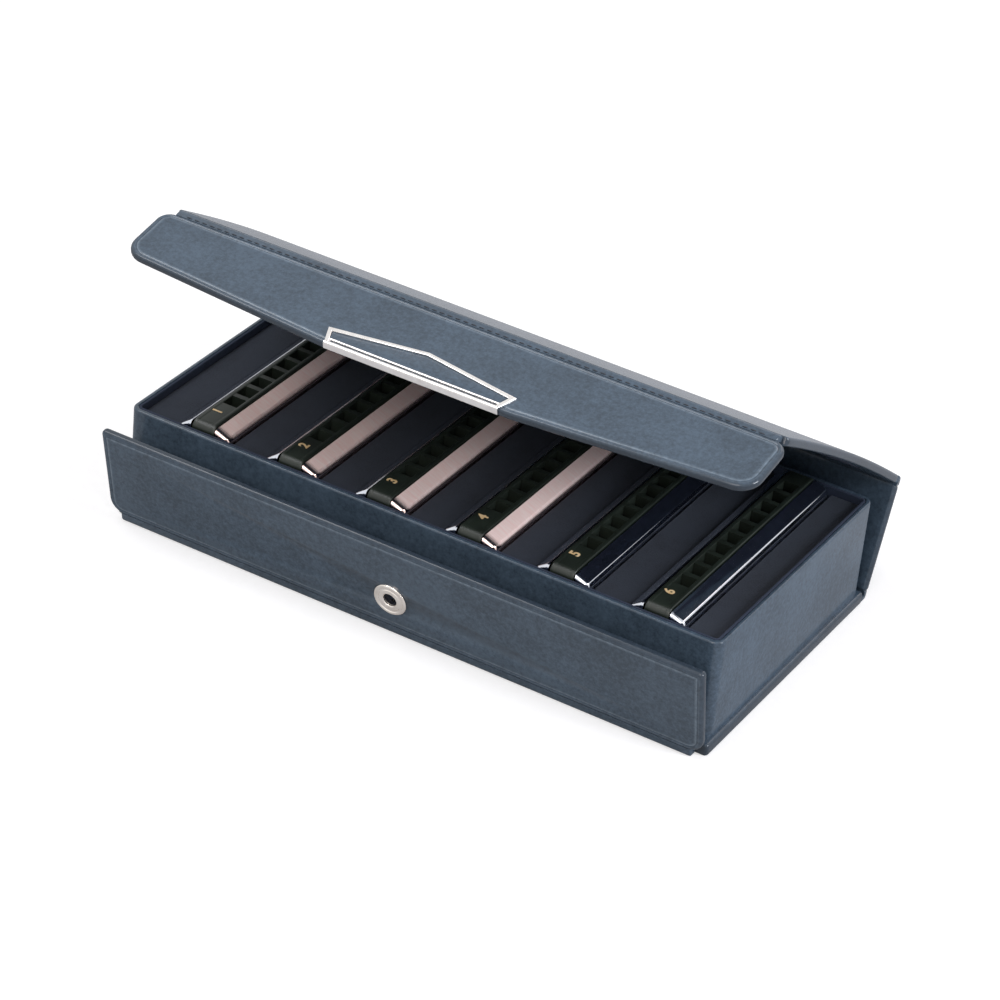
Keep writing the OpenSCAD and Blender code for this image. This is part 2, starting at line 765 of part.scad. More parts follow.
base_cover();
base_board();
tray_skin();
tray_box();
tray_liner();
slot_insert();
spine_fold();
front_fold();
spine_cover();
spine_board();
spine_lining();
lid_fold();
lid_cover();
lid_board();
lid_lining();
lid_flap_fold();
lid_flap_cover();
lid_flap_board();
lid_flap_lining();
trim_frame();
trim_inlay();
snap_stud();
stud_post();
front_flap_cover();
front_flap_board();
front_flap_lining();
snap_cap();
snap_spring();
snap_back();
for (i = [1:harp_count]) {
    comb(i);
    reed_plates(i);
    left_cover(i);
    right_cover(i);
    screws(i);
}
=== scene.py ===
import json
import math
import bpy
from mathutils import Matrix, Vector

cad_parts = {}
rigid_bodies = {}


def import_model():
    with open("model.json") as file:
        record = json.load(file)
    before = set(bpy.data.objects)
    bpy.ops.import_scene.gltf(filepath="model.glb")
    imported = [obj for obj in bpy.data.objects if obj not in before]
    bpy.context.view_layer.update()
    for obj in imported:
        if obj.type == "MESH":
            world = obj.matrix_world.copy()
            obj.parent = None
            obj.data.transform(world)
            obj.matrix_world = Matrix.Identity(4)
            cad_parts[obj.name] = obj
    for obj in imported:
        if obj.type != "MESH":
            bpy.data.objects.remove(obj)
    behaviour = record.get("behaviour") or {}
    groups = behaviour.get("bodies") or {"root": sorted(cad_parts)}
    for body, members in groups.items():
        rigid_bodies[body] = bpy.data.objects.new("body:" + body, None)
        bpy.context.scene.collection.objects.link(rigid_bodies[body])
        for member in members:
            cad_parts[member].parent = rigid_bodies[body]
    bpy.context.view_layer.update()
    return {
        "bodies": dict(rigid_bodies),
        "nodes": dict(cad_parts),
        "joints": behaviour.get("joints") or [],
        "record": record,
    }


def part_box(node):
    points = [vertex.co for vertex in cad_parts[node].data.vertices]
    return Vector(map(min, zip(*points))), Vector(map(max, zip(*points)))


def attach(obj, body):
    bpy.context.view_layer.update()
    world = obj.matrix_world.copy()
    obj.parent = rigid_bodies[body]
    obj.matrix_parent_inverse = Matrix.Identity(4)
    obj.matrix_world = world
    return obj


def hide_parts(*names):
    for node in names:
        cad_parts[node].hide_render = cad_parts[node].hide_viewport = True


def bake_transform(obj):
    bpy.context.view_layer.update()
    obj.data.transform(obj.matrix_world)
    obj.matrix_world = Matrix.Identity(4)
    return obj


bl_info = {
    "name": "Harmonica Case",
    "version": (1, 0, 0),
    "blender": (4, 5, 0),
    "location": "View3D > Sidebar > Harmonica Case",
    "description": "Dresses a packed harmonica case: leatherette panels, tray, clasp and six harmonicas",
    "category": "Object",
}

import bmesh
import bpy
from bpy.props import FloatProperty, FloatVectorProperty, PointerProperty
from mathutils import Matrix, Vector

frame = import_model()
JOINTS = {j["name"]: j for j in frame["joints"]}
HARMONICAS = sorted(b for b in frame["bodies"] if b.startswith("harmonica_"))
MM = 0.001

# Sizes in millimetres: leatherette, play between parts, the seam in the tray's wall, its inner side, corners
SKIN = 0.5
FIT = 0.05
SEAM = 1.7
WALL = 2.8
CORNER = 1.5
LEAST_RADIUS = 0.05

# How many of the harmonicas, from the left, have a right cover whose pale pink, mostly matt colour is a
# painted reflection; the other covers are polished
PINK_REFLECTION_COVERS = 4

# Stage: half the floor's side and the lit place in metres; lamps by name, place, size, watts and colour
FLOOR_REACH = 3
LIT = (0, 0, 0.03)
LAMPS = (
    ("key_light", (-0.9, -0.35, 1.6), 0.9, 14.5, "#fbfbff"),
    ("side_light", (1.6, 0.05, 0.85), 0.6, 23, "#f4f7ff"),
    ("front_light", (0.2, -1.25, 1.1), 0.8, 10, "#fff6f2"),
    ("back_light", (0.3, 1.4, 1.2), 1.0, 6, "#fff0ea"),
)

# Camera: azimuth, elevation and roll in degrees, distance in metres, aim and sensor in millimetres
CAMERA_TURN = (27.834, 32.145, 5.923)
CAMERA_DISTANCE = 1.29787
CAMERA_AIM = (1.508, 1.200, 23.349)
SENSOR = 36.0
FOCAL_PIXELS = 3825.8
PICTURE_PIXELS = 1000


# Colours

def linear(code):
    """An sRGB hex colour as linear red, green, blue and alpha."""
    channels = [int(code[i:i + 2], 16) / 255 for i in (1, 3, 5)]
    return tuple(c / 12.92 if c <= 0.04045 else ((c + 0.055) / 1.055) ** 2.4 for c in channels) + (1.0,)


# Node trees

def add(tree, kind, inputs=None, stops=(), **settings):
    """Adds a node, with its settings, its inputs as values or as sockets to link, and its colour stops."""
    node = tree.nodes.new(kind)
    for name, value in settings.items():
        setattr(node, name, value)
    for key, value in (inputs or {}).items():
        if isinstance(value, bpy.types.NodeSocket):
            tree.links.new(value, node.inputs[key])
        else:
            node.inputs[key].default_value = value
    for k, (place, colour) in enumerate(stops):
        node.color_ramp.elements[k].position = place
        node.color_ramp.elements[k].color = colour
    return node


def arrange(tree):
    """Lays a tree's nodes out in columns, each node left of all those that it feeds."""
    column = {node.name: 0 for node in tree.nodes}
    for _ in tree.nodes:
        for link in tree.links:
            source = link.from_node.name
            column[source] = max(column[source], column[link.to_node.name] + 1)
    filled = {}
    for node in tree.nodes:
        place = column[node.name]
        node.location = (-240 * place, -300 * filled.get(place, 0))
        filled[place] = filled.get(place, 0) + 1


def per_mm(size):
    """Texture scale at which one feature is that many millimetres wide."""
    return 1 / (size * MM)


def new_material(name, constants=None):
    """A material, its tree, its shader with the constants, and the object's own coordinates."""
    material = bpy.data.materials.new(name)
    material.use_nodes = True
    tree = material.node_tree
    tree.nodes.clear()
    shader = add(tree, "ShaderNodeBsdfPrincipled", constants)
    add(tree, "ShaderNodeOutputMaterial", {"Surface": shader.outputs["BSDF"]})
    coords = add(tree, "ShaderNodeTexCoord")
    return material, tree, shader, coords.outputs["Object"]


def dress(tree, shader, tones=None, gloss=None, relief=None):
    """Drives a shader by patterns: its colour through stops, its roughness between two values, its relief."""
    if tones:
        tone = add(tree, "ShaderNodeValToRGB", {"Fac": tones[0]}, tones[1:])
        tree.links.new(tone.outputs["Color"], shader.inputs["Base Color"])
    if gloss:
        rough = add(tree, "ShaderNodeMapRange", {"Value": gloss[0], "To Min": gloss[1], "To Max": gloss[2]})
        tree.links.new(rough.outputs["Result"], shader.inputs["Roughness"])
    if relief:
        bump = add(tree, "ShaderNodeBump", {
            "Height": relief[0], "Strength": relief[1], "Distance": relief[2] * MM})
        tree.links.new(bump.outputs["Normal"], shader.inputs["Normal"])


def leatherette(looks):
    """PU leatherette: plastic skin on cloth, embossed with a fine grain, half matt, with painted shade on its
    round edges and a light line by the crease that is part rubbed wear, part painted highlight.
    """
    material, tree, shader, place = new_material("pu_leatherette", {
        "IOR": 1.47, "Specular IOR Level": 0.25, "Coat Weight": 0.6, "Coat Roughness": 0.14})
    blotch = add(tree, "ShaderNodeTexNoise", {
        "Vector": place, "Scale": per_mm(26), "Detail": 4.0, "Roughness": 0.6}).outputs["Fac"]
    mottle = add(tree, "ShaderNodeTexNoise", {
        "Vector": place, "Scale": per_mm(1.7), "Detail": 4.0, "Roughness": 0.75}).outputs["Fac"]
    both = add(tree, "ShaderNodeMix", {"Factor": 0.4, "A": mottle, "B": blotch}).outputs["Result"]
    wide = add(tree, "ShaderNodeMapRange", {"Value": both, "To Min": -0.6, "To Max": 1.6}).outputs["Result"]
    stops = [(0.25, looks.leather_dark), (0.75, looks.leather_light)]
    tone = add(tree, "ShaderNodeValToRGB", {"Fac": wide}, stops)
    # A panel's own attribute, read here: above 0 the skin is rubbed light, part wear and part painted
    # highlight; below 0 it takes painted shade, as on its round edges
    shade_and_rub = add(tree, "ShaderNodeAttribute", attribute_name="rub_highlight_and_edge_shade").outputs["Fac"]
    rub_and_highlight = add(tree, "ShaderNodeMath", {0: shade_and_rub, 1: mottle}, operation="MULTIPLY").outputs[0]
    # Painted shade: where the attribute is below 0, the colour is mixed towards the dark edge tone
    deep = add(tree, "ShaderNodeMath", {0: shade_and_rub, 1: -1.0}, operation="MULTIPLY").outputs[0]
    edge_shaded = add(tree, "ShaderNodeMix", {
        "Factor": deep, "A": tone.outputs["Color"], "B": looks.leather_edge}, data_type="RGBA")
    # Rubbed light where the attribute is above 0: part wear, part painted highlight
    rubbed = add(tree, "ShaderNodeMix", {
        "Factor": rub_and_highlight, "A": edge_shaded.outputs["Result"], "B": looks.leather_worn}, data_type="RGBA")
    tree.links.new(rubbed.outputs["Result"], shader.inputs["Base Color"])
    grain = add(tree, "ShaderNodeTexVoronoi", {
        "Vector": place, "Scale": per_mm(looks.grain)}, feature="SMOOTH_F1")
    creases = add(tree, "ShaderNodeTexNoise", {"Vector": place, "Scale": per_mm(9), "Detail": 5.0})
    fine = add(tree, "ShaderNodeBump", {
        "Height": grain.outputs["Distance"], "Strength": 0.35, "Distance": 0.12 * MM})
    dress(tree, shader, gloss=(mottle, 0.55, 0.75), relief=(creases.outputs["Fac"], 0.3, 0.5))
    wide_relief = shader.inputs["Normal"].links[0].from_node
    tree.links.new(fine.outputs["Normal"], wide_relief.inputs["Normal"])
    return material


def flock(name, dark, light, pile):
    """Nylon flock: short fibres glued upright, which scatter light to all sides and lie over in patches."""
    material, tree, shader, place = new_material(name, {
        "Roughness": 0.92, "Sheen Weight": 0.25, "Sheen Roughness": 0.5, "Sheen Tint": linear(light)})
    lie = add(tree, "ShaderNodeTexNoise", {
        "Vector": place, "Scale": per_mm(14), "Detail": 5.0, "Roughness": 0.65}).outputs["Fac"]
    fibre = add(tree, "ShaderNodeTexNoise", {
        "Vector": place, "Scale": per_mm(pile), "Detail": 2.0}).outputs["Fac"]
    both = add(tree, "ShaderNodeMath", {0: lie, 1: fibre}, operation="ADD").outputs[0]
    wide = add(tree, "ShaderNodeMapRange", {"Value": both, "To Min": -0.5, "To Max": 0.5}).outputs["Result"]
    dress(tree, shader, tones=(wide, (0.2, linear(dark)), (0.8, linear(light))), relief=(fibre, 0.5, 0.15))
    return material


def metal(name, dark, light, rough, grain, stretch=(1, 1, 1), metallic=1.0, bump=0.02):
    """Plated or rolled metal: a thin haze of handling marks varies its gloss and, a little, its colour."""
    material, tree, shader, place = new_material(name, {"Metallic": metallic})
    turn = add(tree, "ShaderNodeMapping", {"Vector": place, "Scale": stretch}).outputs["Vector"]
    haze = add(tree, "ShaderNodeTexNoise", {
        "Vector": turn, "Scale": per_mm(grain * 12), "Detail": 4.0}).outputs["Fac"]
    marks = add(tree, "ShaderNodeTexNoise", {
        "Vector": turn, "Scale": per_mm(grain), "Detail": 2.0}).outputs["Fac"]
    dress(tree, shader, (haze, (0.3, linear(dark)), (0.7, linear(light))), (haze, rough * 0.6, rough * 1.4),
          (marks, 0.2, bump))
    if metallic < 1:
        # A cover's own "polish" attribute: where it is 1, the metal is bare and mirror-like
        polish = add(tree, "ShaderNodeAttribute", attribute_name="polish").outputs["Fac"]
        bare = add(tree, "ShaderNodeMapRange", {"Value": polish, "To Min": metallic, "To Max": 1.0})
        tree.links.new(bare.outputs["Result"], shader.inputs["Metallic"])
        satin = add(tree, "ShaderNodeMath", {0: 1.0, 1: polish}, operation="SUBTRACT").outputs[0]
        gloss = shader.inputs["Roughness"].links[0].from_socket
        mixed = add(tree, "ShaderNodeMath", {0: gloss, 1: satin}, operation="MULTIPLY")
        tree.links.new(mixed.outputs[0], shader.inputs["Roughness"])
    return material


def moulded(name, dark, light, rough):
    """Moulded ABS: an even dark colour with faint flow marks, half gloss from the mould."""
    material, tree, shader, place = new_material(name)
    flow = add(tree, "ShaderNodeTexNoise", {
        "Vector": place, "Scale": per_mm(7), "Detail": 4.0}).outputs["Fac"]
    spark = add(tree, "ShaderNodeTexNoise", {
        "Vector": place, "Scale": per_mm(0.4), "Detail": 2.0}).outputs["Fac"]
    dress(tree, shader, (flow, (0.3, linear(dark)), (0.7, linear(light))),
          (spark, rough - 0.07, rough + 0.07), (spark, 0.15, 0.02))
    return material


def card(name, dark, light):
    """Grey bookbinding board: pressed waste paper, matt, with flecks of fibre."""
    material, tree, shader, place = new_material(name)
    fleck = add(tree, "ShaderNodeTexNoise", {
        "Vector": place, "Scale": per_mm(0.7), "Detail": 6.0, "Roughness": 0.8}).outputs["Fac"]
    dress(tree, shader, (fleck, (0.3, linear(dark)), (0.7, linear(light))), (fleck, 0.8, 0.95))
    return material


def thread(name, dark, light):
    """Twisted polyester thread: two plies wound round each other, with a soft gloss."""
    material, tree, shader, place = new_material(name)
    plies = add(tree, "ShaderNodeTexWave", {"Vector": place, "Scale": per_mm(1.2), "Distortion": 1.0},
                bands_direction="DIAGONAL").outputs["Fac"]
    dress(tree, shader, (plies, (0.2, linear(dark)), (0.8, linear(light))), (plies, 0.5, 0.7))
    return material


# Mesh helpers

def finished(name, mesh, material, smooth=35):
    """A new object from a mesh, with its normals outward, shaded smooth up to an angle, and its material."""
    work = bmesh.new()
    work.from_mesh(mesh)
    bmesh.ops.remove_doubles(work, verts=work.verts, dist=1e-7)
    bmesh.ops.recalc_face_normals(work, faces=work.faces)
    work.to_mesh(mesh)
    work.free()
    return placed(name, mesh, material, smooth)


def placed(name, mesh, material, smooth=35):
    obj = bpy.data.objects.new(name, mesh)
    bpy.context.scene.collection.objects.link(obj)
    mesh.materials.clear()
    mesh.materials.append(material)
    mesh.shade_smooth()
    if smooth:
        mesh.set_sharp_from_angle(angle=math.radians(smooth))
    return obj


def mesh_of(name, points, faces):
    mesh = bpy.data.meshes.new(name)
    mesh.from_pydata([tuple(p) for p in points], [], faces)
    return mesh


def filleted(points, radii, steps=5, closed=True):
    """A polygon in millimetres with each corner rounded by its radius, as a list of points."""
    out = []
    count = len(points)
    for i, (p, r) in enumerate(zip(points, radii)):
        p = Vector(p)
        if r <= 0 or (not closed and i in (0, count - 1)):
            out.append(p)
            continue
        a = (Vector(points[i - 1]) - p)
        b = (Vector(points[(i + 1) % count]) - p)
        half = a.angle(b) / 2
        cut = min(r / math.tan(half), a.length * 0.49, b.length * 0.49)
        r = cut * math.tan(half)
        centre = p + (a.normalized() + b.normalized()).normalized() * (r / math.sin(half))
        start = p + a.normalized() * cut - centre
        end = p + b.normalized() * cut - centre
        sweep = start.angle_signed(end)
        for k in range(steps + 1):
            turn = Matrix.Rotation(-sweep * k / steps, 2)
            out.append(centre + turn @ start)
    return out


def lofted(rings, cap=True):
    """Points and faces of a surface through rings of equal count, with its two ends capped."""
    count = len(rings[0])
    points = [p for ring in rings for p in ring]
    faces = []
    for k in range(len(rings) - 1):
        for i in range(count):
            j = (i + 1) % count
            faces.append((k * count + i, k * count + j, (k + 1) * count + j, (k + 1) * count + i))
    if cap:
        faces.append(tuple(range(count))[::-1])
        faces.append(tuple((len(rings) - 1) * count + i for i in range(count)))
    return points, faces


def turned(name, section, material, to_world):
    """A lathed ring: a closed section of radius and height, in millimetres, turned about to_world's axis."""
    steps = 48
    rings = []
    for k in range(steps):
        angle = 2 * math.pi * k / steps
        rings.append([to_world @ Vector((r * math.cos(angle), r * math.sin(angle), z)) for r, z in section])
    points, faces = lofted(rings + [rings[0]], cap=False)
    return finished(name, mesh_of(name, points, faces), material)


def softened(name, node, material, width, segments=2):
    """A copy of a CAD node with its edges rounded, which then stands for the node."""
    mesh = frame["nodes"][node].data.copy()
    mesh.name = name
    work = bmesh.new()
    work.from_mesh(mesh)
    bmesh.ops.remove_doubles(work, verts=work.verts, dist=1e-6)
    bmesh.ops.dissolve_limit(work, angle_limit=math.radians(1), verts=work.verts, edges=work.edges)
    sharp = [e for e in work.edges if len(e.link_faces) == 2 and e.calc_face_angle() > math.radians(30)]
    bmesh.ops.bevel(work, geom=sharp, offset=width * MM, offset_type="OFFSET", segments=segments, profile=0.5,
                    affect="EDGES", clamp_overlap=True, miter_outer="ARC")
    work.to_mesh(mesh)
    work.free()
    return stands_for(placed(name, mesh, material, 40), node)


def stands_for(obj, node):
    """obj takes the place and the body of a CAD node."""
    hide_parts(node)
    bodies = frame["record"]["behaviour"]["bodies"]
    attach(obj, next(body for body, names in bodies.items() if node in names))
    return in_slot(obj)


def in_slot(obj):
    return obj


# Where the panels lie: a panel runs from its fold along "along", with its outer face towards "out"

def joint_at(name):
    return Vector(JOINTS[name]["pos_m"]) / MM


def panel_frame(fold, degrees, flip):
    """Matrix from a panel's own x, length and outward height, in millimetres, to the row frame in metres."""
    along = Vector((0, math.cos(math.radians(degrees)), math.sin(math.radians(degrees))))
    out = Vector((0, -along.z, along.y)) * flip
    at = joint_at(fold)
    place = Matrix(((1, 0, 0, at.x), (0, along.y, out.y, at.y), (0, along.z, out.z, at.z), (0, 0, 0, 1)))
    return Matrix.Scale(MM, 4) @ place


def panel_shape(half_w, y0, y1, r0, r1, free=(True, True)):
    """A rounded rectangle's points, moved in by an inset; an end that is not free stays where it is."""
    def points(inset):
        lower = inset if free[0] else min(inset, 0.0)
        upper = inset if free[1] else min(inset, 0.0)
        x = half_w - inset
        near = max(r0 - inset, LEAST_RADIUS)
        far = max(r1 - inset, LEAST_RADIUS)
        corners = [(-x, y0 + lower), (x, y0 + lower), (x, y1 - upper), (-x, y1 - upper)]
        return filleted(corners, [near, near, far, far], 6)
    return points


def flap_shape(s, half_w):
    """The lid flap's points, moved in by an inset: its free edge is straight in the middle, then tapers."""
    turn = math.atan(s.flap_taper / (half_w - s.flap_mid))
    x = half_w - s.flap_corner
    corner = Vector((x, s.flap_len - (s.flap_corner + math.sin(turn) * (x - s.flap_mid)) / math.cos(turn)))
    fold_corner = Vector((half_w - s.flap_fold_corner, s.gap + s.flap_fold_corner))

    def arc(centre, radius, start, end):
        angles = [start + (end - start) * k / 8 for k in range(9)]
        return [centre + Vector((math.cos(a), math.sin(a))) * max(radius, LEAST_RADIUS) for a in angles]

    def points(inset):
        half = arc(fold_corner, s.flap_fold_corner - inset, -math.pi / 2, 0)
        half += arc(corner, s.flap_corner - inset, 0, math.pi / 2 - turn)
        half.append(Vector((s.flap_mid - inset * math.tan(turn / 2), s.flap_len - inset)))
        return half + [Vector((-p.x, p.y)) for p in reversed(half)]
    return points


def slab(name, material, to_world, shape, low, high, edge, crease=0.0, bow=0.0, length=1.0):
    """A wrapped panel: an outline with a round edge, a pressed crease line inside it, and a bow."""
    mid = (low + high) / 2
    half = (high - low) / 2
    edge = min(edge, half)
    profile = []
    for k in range(7):
        turn = math.pi / 2 * k / 6
        drop = edge * (1 - math.cos(turn))
        # The round edge's rows carry negative values: painted shade along the wrapped edge
        profile.append((edge * (1 - math.sin(turn)), -half + drop, -0.7 * math.sin(turn)))
    upper = [(i, -h, w) for i, h, w in reversed(profile)]
    rows = [(6.0, -half, 0.0), (edge + 0.3, -half, 0.0)] + profile + upper
    if crease:
        deep = half - crease
        # The crease's rows carry positive values: a light line beside it, part rubbed wear and part painted
        # highlight
        rows += [(edge + 0.2, half, 0.15), (edge + 0.45, deep, 0.0), (edge + 0.75, deep, 0.0),
                 (edge + 1.0, half, 0.7), (edge + 1.3, half, 0.4)]
    rows += [(edge + 1.9, half, 0.0), (edge + 4, half, 0.0)]
    rings = []
    rub_highlight_and_edge_shade = []
    for inset, height, w in rows:
        ring = shape(inset)
        rings.append([Vector((p[0], p[1], mid + height)) for p in ring])
        rub_highlight_and_edge_shade += [w] * len(ring)
    points, faces = lofted(rings)
    if bow:
        points, faces, rub_highlight_and_edge_shade = bowed(points, faces, rub_highlight_and_edge_shade, bow, length)
    mesh = mesh_of(name, [to_world @ Vector(p) for p in points], faces)
    # Per-point values for the leatherette: painted shade on the edge, and the crease's light line of wear and
    # painted highlight
    layer = mesh.attributes.new("rub_highlight_and_edge_shade", "FLOAT", "POINT")
    layer.data.foreach_set("value", rub_highlight_and_edge_shade)
    return finished(name, mesh, material, 50)


def bowed(points, faces, rub_highlight_and_edge_shade, bow, length):
    """Cuts a panel across its length and lifts it in an even curve that is highest in the middle."""
    steps = 24
    mesh = mesh_of("bowed", points, faces)
    work = bmesh.new()
    work.from_mesh(mesh)
    bpy.data.meshes.remove(mesh)
    layer = work.verts.layers.float.new("rub_highlight_and_edge_shade")
    for vert, value in zip(work.verts, rub_highlight_and_edge_shade):
        vert[layer] = value
    for k in range(1, steps):
        whole = list(work.verts) + list(work.edges) + list(work.faces)
        cut = (0, length * k / steps, 0)
        bmesh.ops.bisect_plane(work, geom=whole, dist=1e-4, plane_co=cut, plane_no=(0, 1, 0))
    for vert in work.verts:
        share = 2 * vert.co.y / length - 1
        vert.co.z += bow * (1 - share * share)
    work.verts.index_update()
    moved = [tuple(v.co) for v in work.verts]
    out = [tuple(v.index for v in f.verts) for f in work.faces]
    shade_and_rub = [v[layer] for v in work.verts]
    work.free()
    return moved, out, shade_and_rub


def swept_round(name, material, section, half_l, half_d, radius, at):
    """A closed wall section carried round a rounded rectangle: its x is the distance in from the outside."""
    path = []
    corners = [(half_l, -half_d, -90), (half_l, half_d, 0), (-half_l, half_d, 90), (-half_l, -half_d, 180)]
    for x, y, start in corners:
        cx = x - math.copysign(radius, x)
        cy = y - math.copysign(radius, y)
        for k in range(9):
            angle = math.radians(start + 90 * k / 8)
            path.append((Vector((cx, cy)), Vector((math.cos(angle), math.sin(angle)))))
    rings = []
    for centre, out in path:
        rings.append([(at + Vector((*(centre + out * (radius - s)), z))) * MM for s, z in section])
    points, faces = lofted(rings + [rings[0]], cap=False)
    return finished(name, mesh_of(name, points, faces), material, 40)


def size(name, description, default, unit="millimetres"):
    return FloatProperty(name=name, description=description + ", in " + unit, default=default)


def tone(name, description, default):
    return FloatVectorProperty(name=name, description=description, default=linear(default),
                               subtype="COLOR", size=4)


class CaseSizes(bpy.types.PropertyGroup):
    """Sizes of the case's panels and tray"""

    panel: size("Panel thickness", "Thickness of a wrapped panel", 3.0)
    gap: size("Fold edge", "Distance from a fold to the panel's edge", 1.8)
    turn_in: size("Turned-in leather", "Width of leather inside a panel", 10.0)
    lean: size("Spine lean", "Lean of the spine from upright", 19.0, "degrees")
    rise: size("Lid rise", "Rise of the lid", 32.2, "degrees")
    dip: size("Lid flap dip", "Dip of the lid flap", 11.5, "degrees")
    front_lean: size("Front flap lean", "Lean of the front flap", 12.5, "degrees")
    flap_len: size("Lid flap length", "Fold to free edge", 33.082)
    front_len: size("Front flap length", "Fold to free edge", 38.0)
    flap_over: size("Lid flap overhang", "Past the lid, at each end", 2.3)
    flap_mid: size("Lid flap middle", "Half width of its straight middle", 35.0)
    flap_taper: size("Lid flap taper", "How much shorter its ends are", 6.6)
    flap_corner: size("Lid flap corner", "Radius at the free edge", 8.0)
    flap_fold_corner: size("Lid flap fold corner", "Radius at the fold", 5.0)
    bow: size("Lid bow", "How far the lid bulges outward", 2.0)
    clasp_x: size("Clasp place", "Sideways place of the clasp", -1.2)
    socket_up: size("Socket place", "Fold to snap socket", 14.8)
    stud_edge: size("Stud place", "Free edge to snap stud", 5.4)
    stitch: size("Stitch length", "Length of one stitch", 2.1)
    stitch_gap: size("Stitch gap", "Gap between two stitches", 0.9)
    stitch_reach: size("Stitched length", "Middle to either end of the row", 108.0)
    thread: size("Thread", "Thickness of the thread", 0.56)
    tray_l: size("Tray length", "Outside", 228.0)
    tray_d: size("Tray depth", "Outside, front to back", 110.0)
    tray_h: size("Tray height", "Outside", 37.0)
    tray_corner: size("Tray corner", "Outside corner radius", 4.0)


class CaseLooks(bpy.types.PropertyGroup):
    """Colours and grain of the case"""

    leather_dark: tone("Leatherette, dark", "Darkest tone of the mottle", "#303e4b")
    leather_light: tone("Leatherette, light", "Lightest tone of the mottle", "#485969")
    # Light line beside a panel's crease: part rubbed wear, part painted highlight
    leather_worn: tone("Leatherette, rubbed", "Tone of the rubbed edges", "#93a4b2")
    # Painted shade on a panel's round, wrapped edges
    leather_edge: tone("Leatherette, edges", "Tone of the wrapped edges", "#1a232d")
    grain: size("Grain", "Width of a pebble of the grain", 0.8)


class HarmonicaSizes(bpy.types.PropertyGroup):
    """Sizes of the harmonicas"""

    length: size("Length", "End to end", 103.0)
    height: size("Height", "Mouthpiece to back", 26.5)
    width: size("Width", "Over both covers", 20.6)
    sheet: size("Cover sheet", "Thickness of a cover plate", 0.45)
    screw_in: size("Screw place", "End to screw", 4.5)
    screw_down: size("Screw depth", "Mouthpiece to screw", 22.5)
    screw_reach: size("Screw reach", "Middle to the screws' heads and nuts", 4.65)
    bend: size("Cover end radius", "Rounding of a cover's ends", 1.5)
    corner: size("Comb corner", "Radius of the mouth corners", 3.0)
    head: size("Mouthpiece width", "Across the comb's wider head", 8.8)
    head_h: size("Mouthpiece height", "Height of the comb's wider head", 5.0)
    chamber: size("Comb thickness", "Between the reed plates", 6.4)
    first_hole: size("First hole", "Front end to the first hole's middle", 18.8)
    hole_pitch: size("Hole pitch", "From hole to hole", 8.0)
    hole_l: size("Hole length", "Along the comb", 5.9)
    hole_w: size("Hole width", "Across the comb", 5.6)


MATERIALS = {}


class CASE_OT_finishes(bpy.types.Operator):
    """Make the case's materials and give them to the CAD nodes that stay in view"""

    bl_idname = "harmonica_case.finishes"
    bl_label = "Finishes"

    def execute(self, context):
        MATERIALS.update(
            leatherette=leatherette(context.scene.case_looks),
            flock_insert=flock("nylon_flock", "#181d26", "#2e3541", 0.5),
            lining_velvet=flock("short_pile_velvet", "#182030", "#2d384c", 0.35),
            trim_chrome=metal("chrome_plate", "#e4e0de", "#f4f2f0", 0.12, 0.3, bump=0.006),
            snap_metal=metal("nickel_plate", "#e6ddd4", "#f8f2ea", 0.16, 0.3),
            spring_steel=metal("spring_steel", "#8b8783", "#aca7a2", 0.35, 0.2),
            comb_plastic=moulded("black_abs", "#161c17", "#232b24", 0.42),
            reed_brass=metal("rolled_brass", "#a58a45", "#c7ab68", 0.35, 0.15),
            # Pale pink and mostly matt: a painted reflection on the cover's top, with bare, mirror-like metal
            # where the cover's polish attribute is 1
            cover_satin=metal("pink_painted_reflection", "#fadad3", "#fde9e3", 0.5, 0.2, (0.2, 3, 1), 0.15, 0.008),
            cover_chrome=metal("polished_chrome", "#d2d5dd", "#dfe3ec", 0.08, 0.3, bump=0.002),
            screw_steel=metal("zinc_plated_steel", "#9a9a96", "#c4c3be", 0.3, 0.2),
            grey_board=card("grey_board", "#79746a", "#9b958a"),
            thread=thread("navy_thread", "#131920", "#29323e"),
            gold_ink=metal("gold_foil", "#e3bf86", "#f6dcae", 0.45, 0.2, metallic=0.1),
        )
        for material in MATERIALS.values():
            arrange(material.node_tree)
        for part in frame["record"]["subparts"]:
            node = frame["nodes"][part["node"]]
            node.data.materials.clear()
            node.data.materials.append(MATERIALS[part["material_slot"]])
        return {"FINISHED"}


class CASE_OT_tray(bpy.types.Operator):
    """Make the base, the tray's leatherette and lining, and the flocked insert"""

    bl_idname = "harmonica_case.tray"
    bl_label = "Tray"

    def execute(self, context):
        s = context.scene.case_sizes
        low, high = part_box("base_cover")
        shape = panel_shape(high.x / MM, low.y / MM, high.y / MM, CORNER, CORNER)
        base = slab("base_leather", MATERIALS["leatherette"], Matrix.Scale(MM, 4), shape, 0, high.z / MM, 1.1)
        stands_for(base, "base_cover")
        low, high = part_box("tray_skin")
        at = Vector((0, (low.y + high.y) / 2 / MM, low.z / MM))
        around = (s.tray_l / 2, s.tray_d / 2, s.tray_corner, at)
        top = s.tray_h
        turned_in = top - 2.4
        skin = filleted([(0, 0), (0, top), (SEAM, top), (SEAM, turned_in), (SEAM - 0.3, turned_in),
                         (SEAM - 0.3, top - SKIN), (SKIN, top - SKIN), (SKIN, 0)],
                        [0, 1.3, 0.45, 0, 0, 0.2, 0.8, 0])
        stands_for(swept_round("tray_leather", MATERIALS["leatherette"], skin, *around), "tray_skin")
        pile = filleted([(SEAM + FIT, 2.5), (SEAM + FIT, top), (WALL, top), (WALL, 2.5)], [0, 0.4, 0.4, 0])
        stands_for(swept_round("tray_lining", MATERIALS["lining_velvet"], pile, *around), "tray_liner")
        softened("slotted_insert", "slot_insert", MATERIALS["flock_insert"], 0.7, 3)
        return {"FINISHED"}


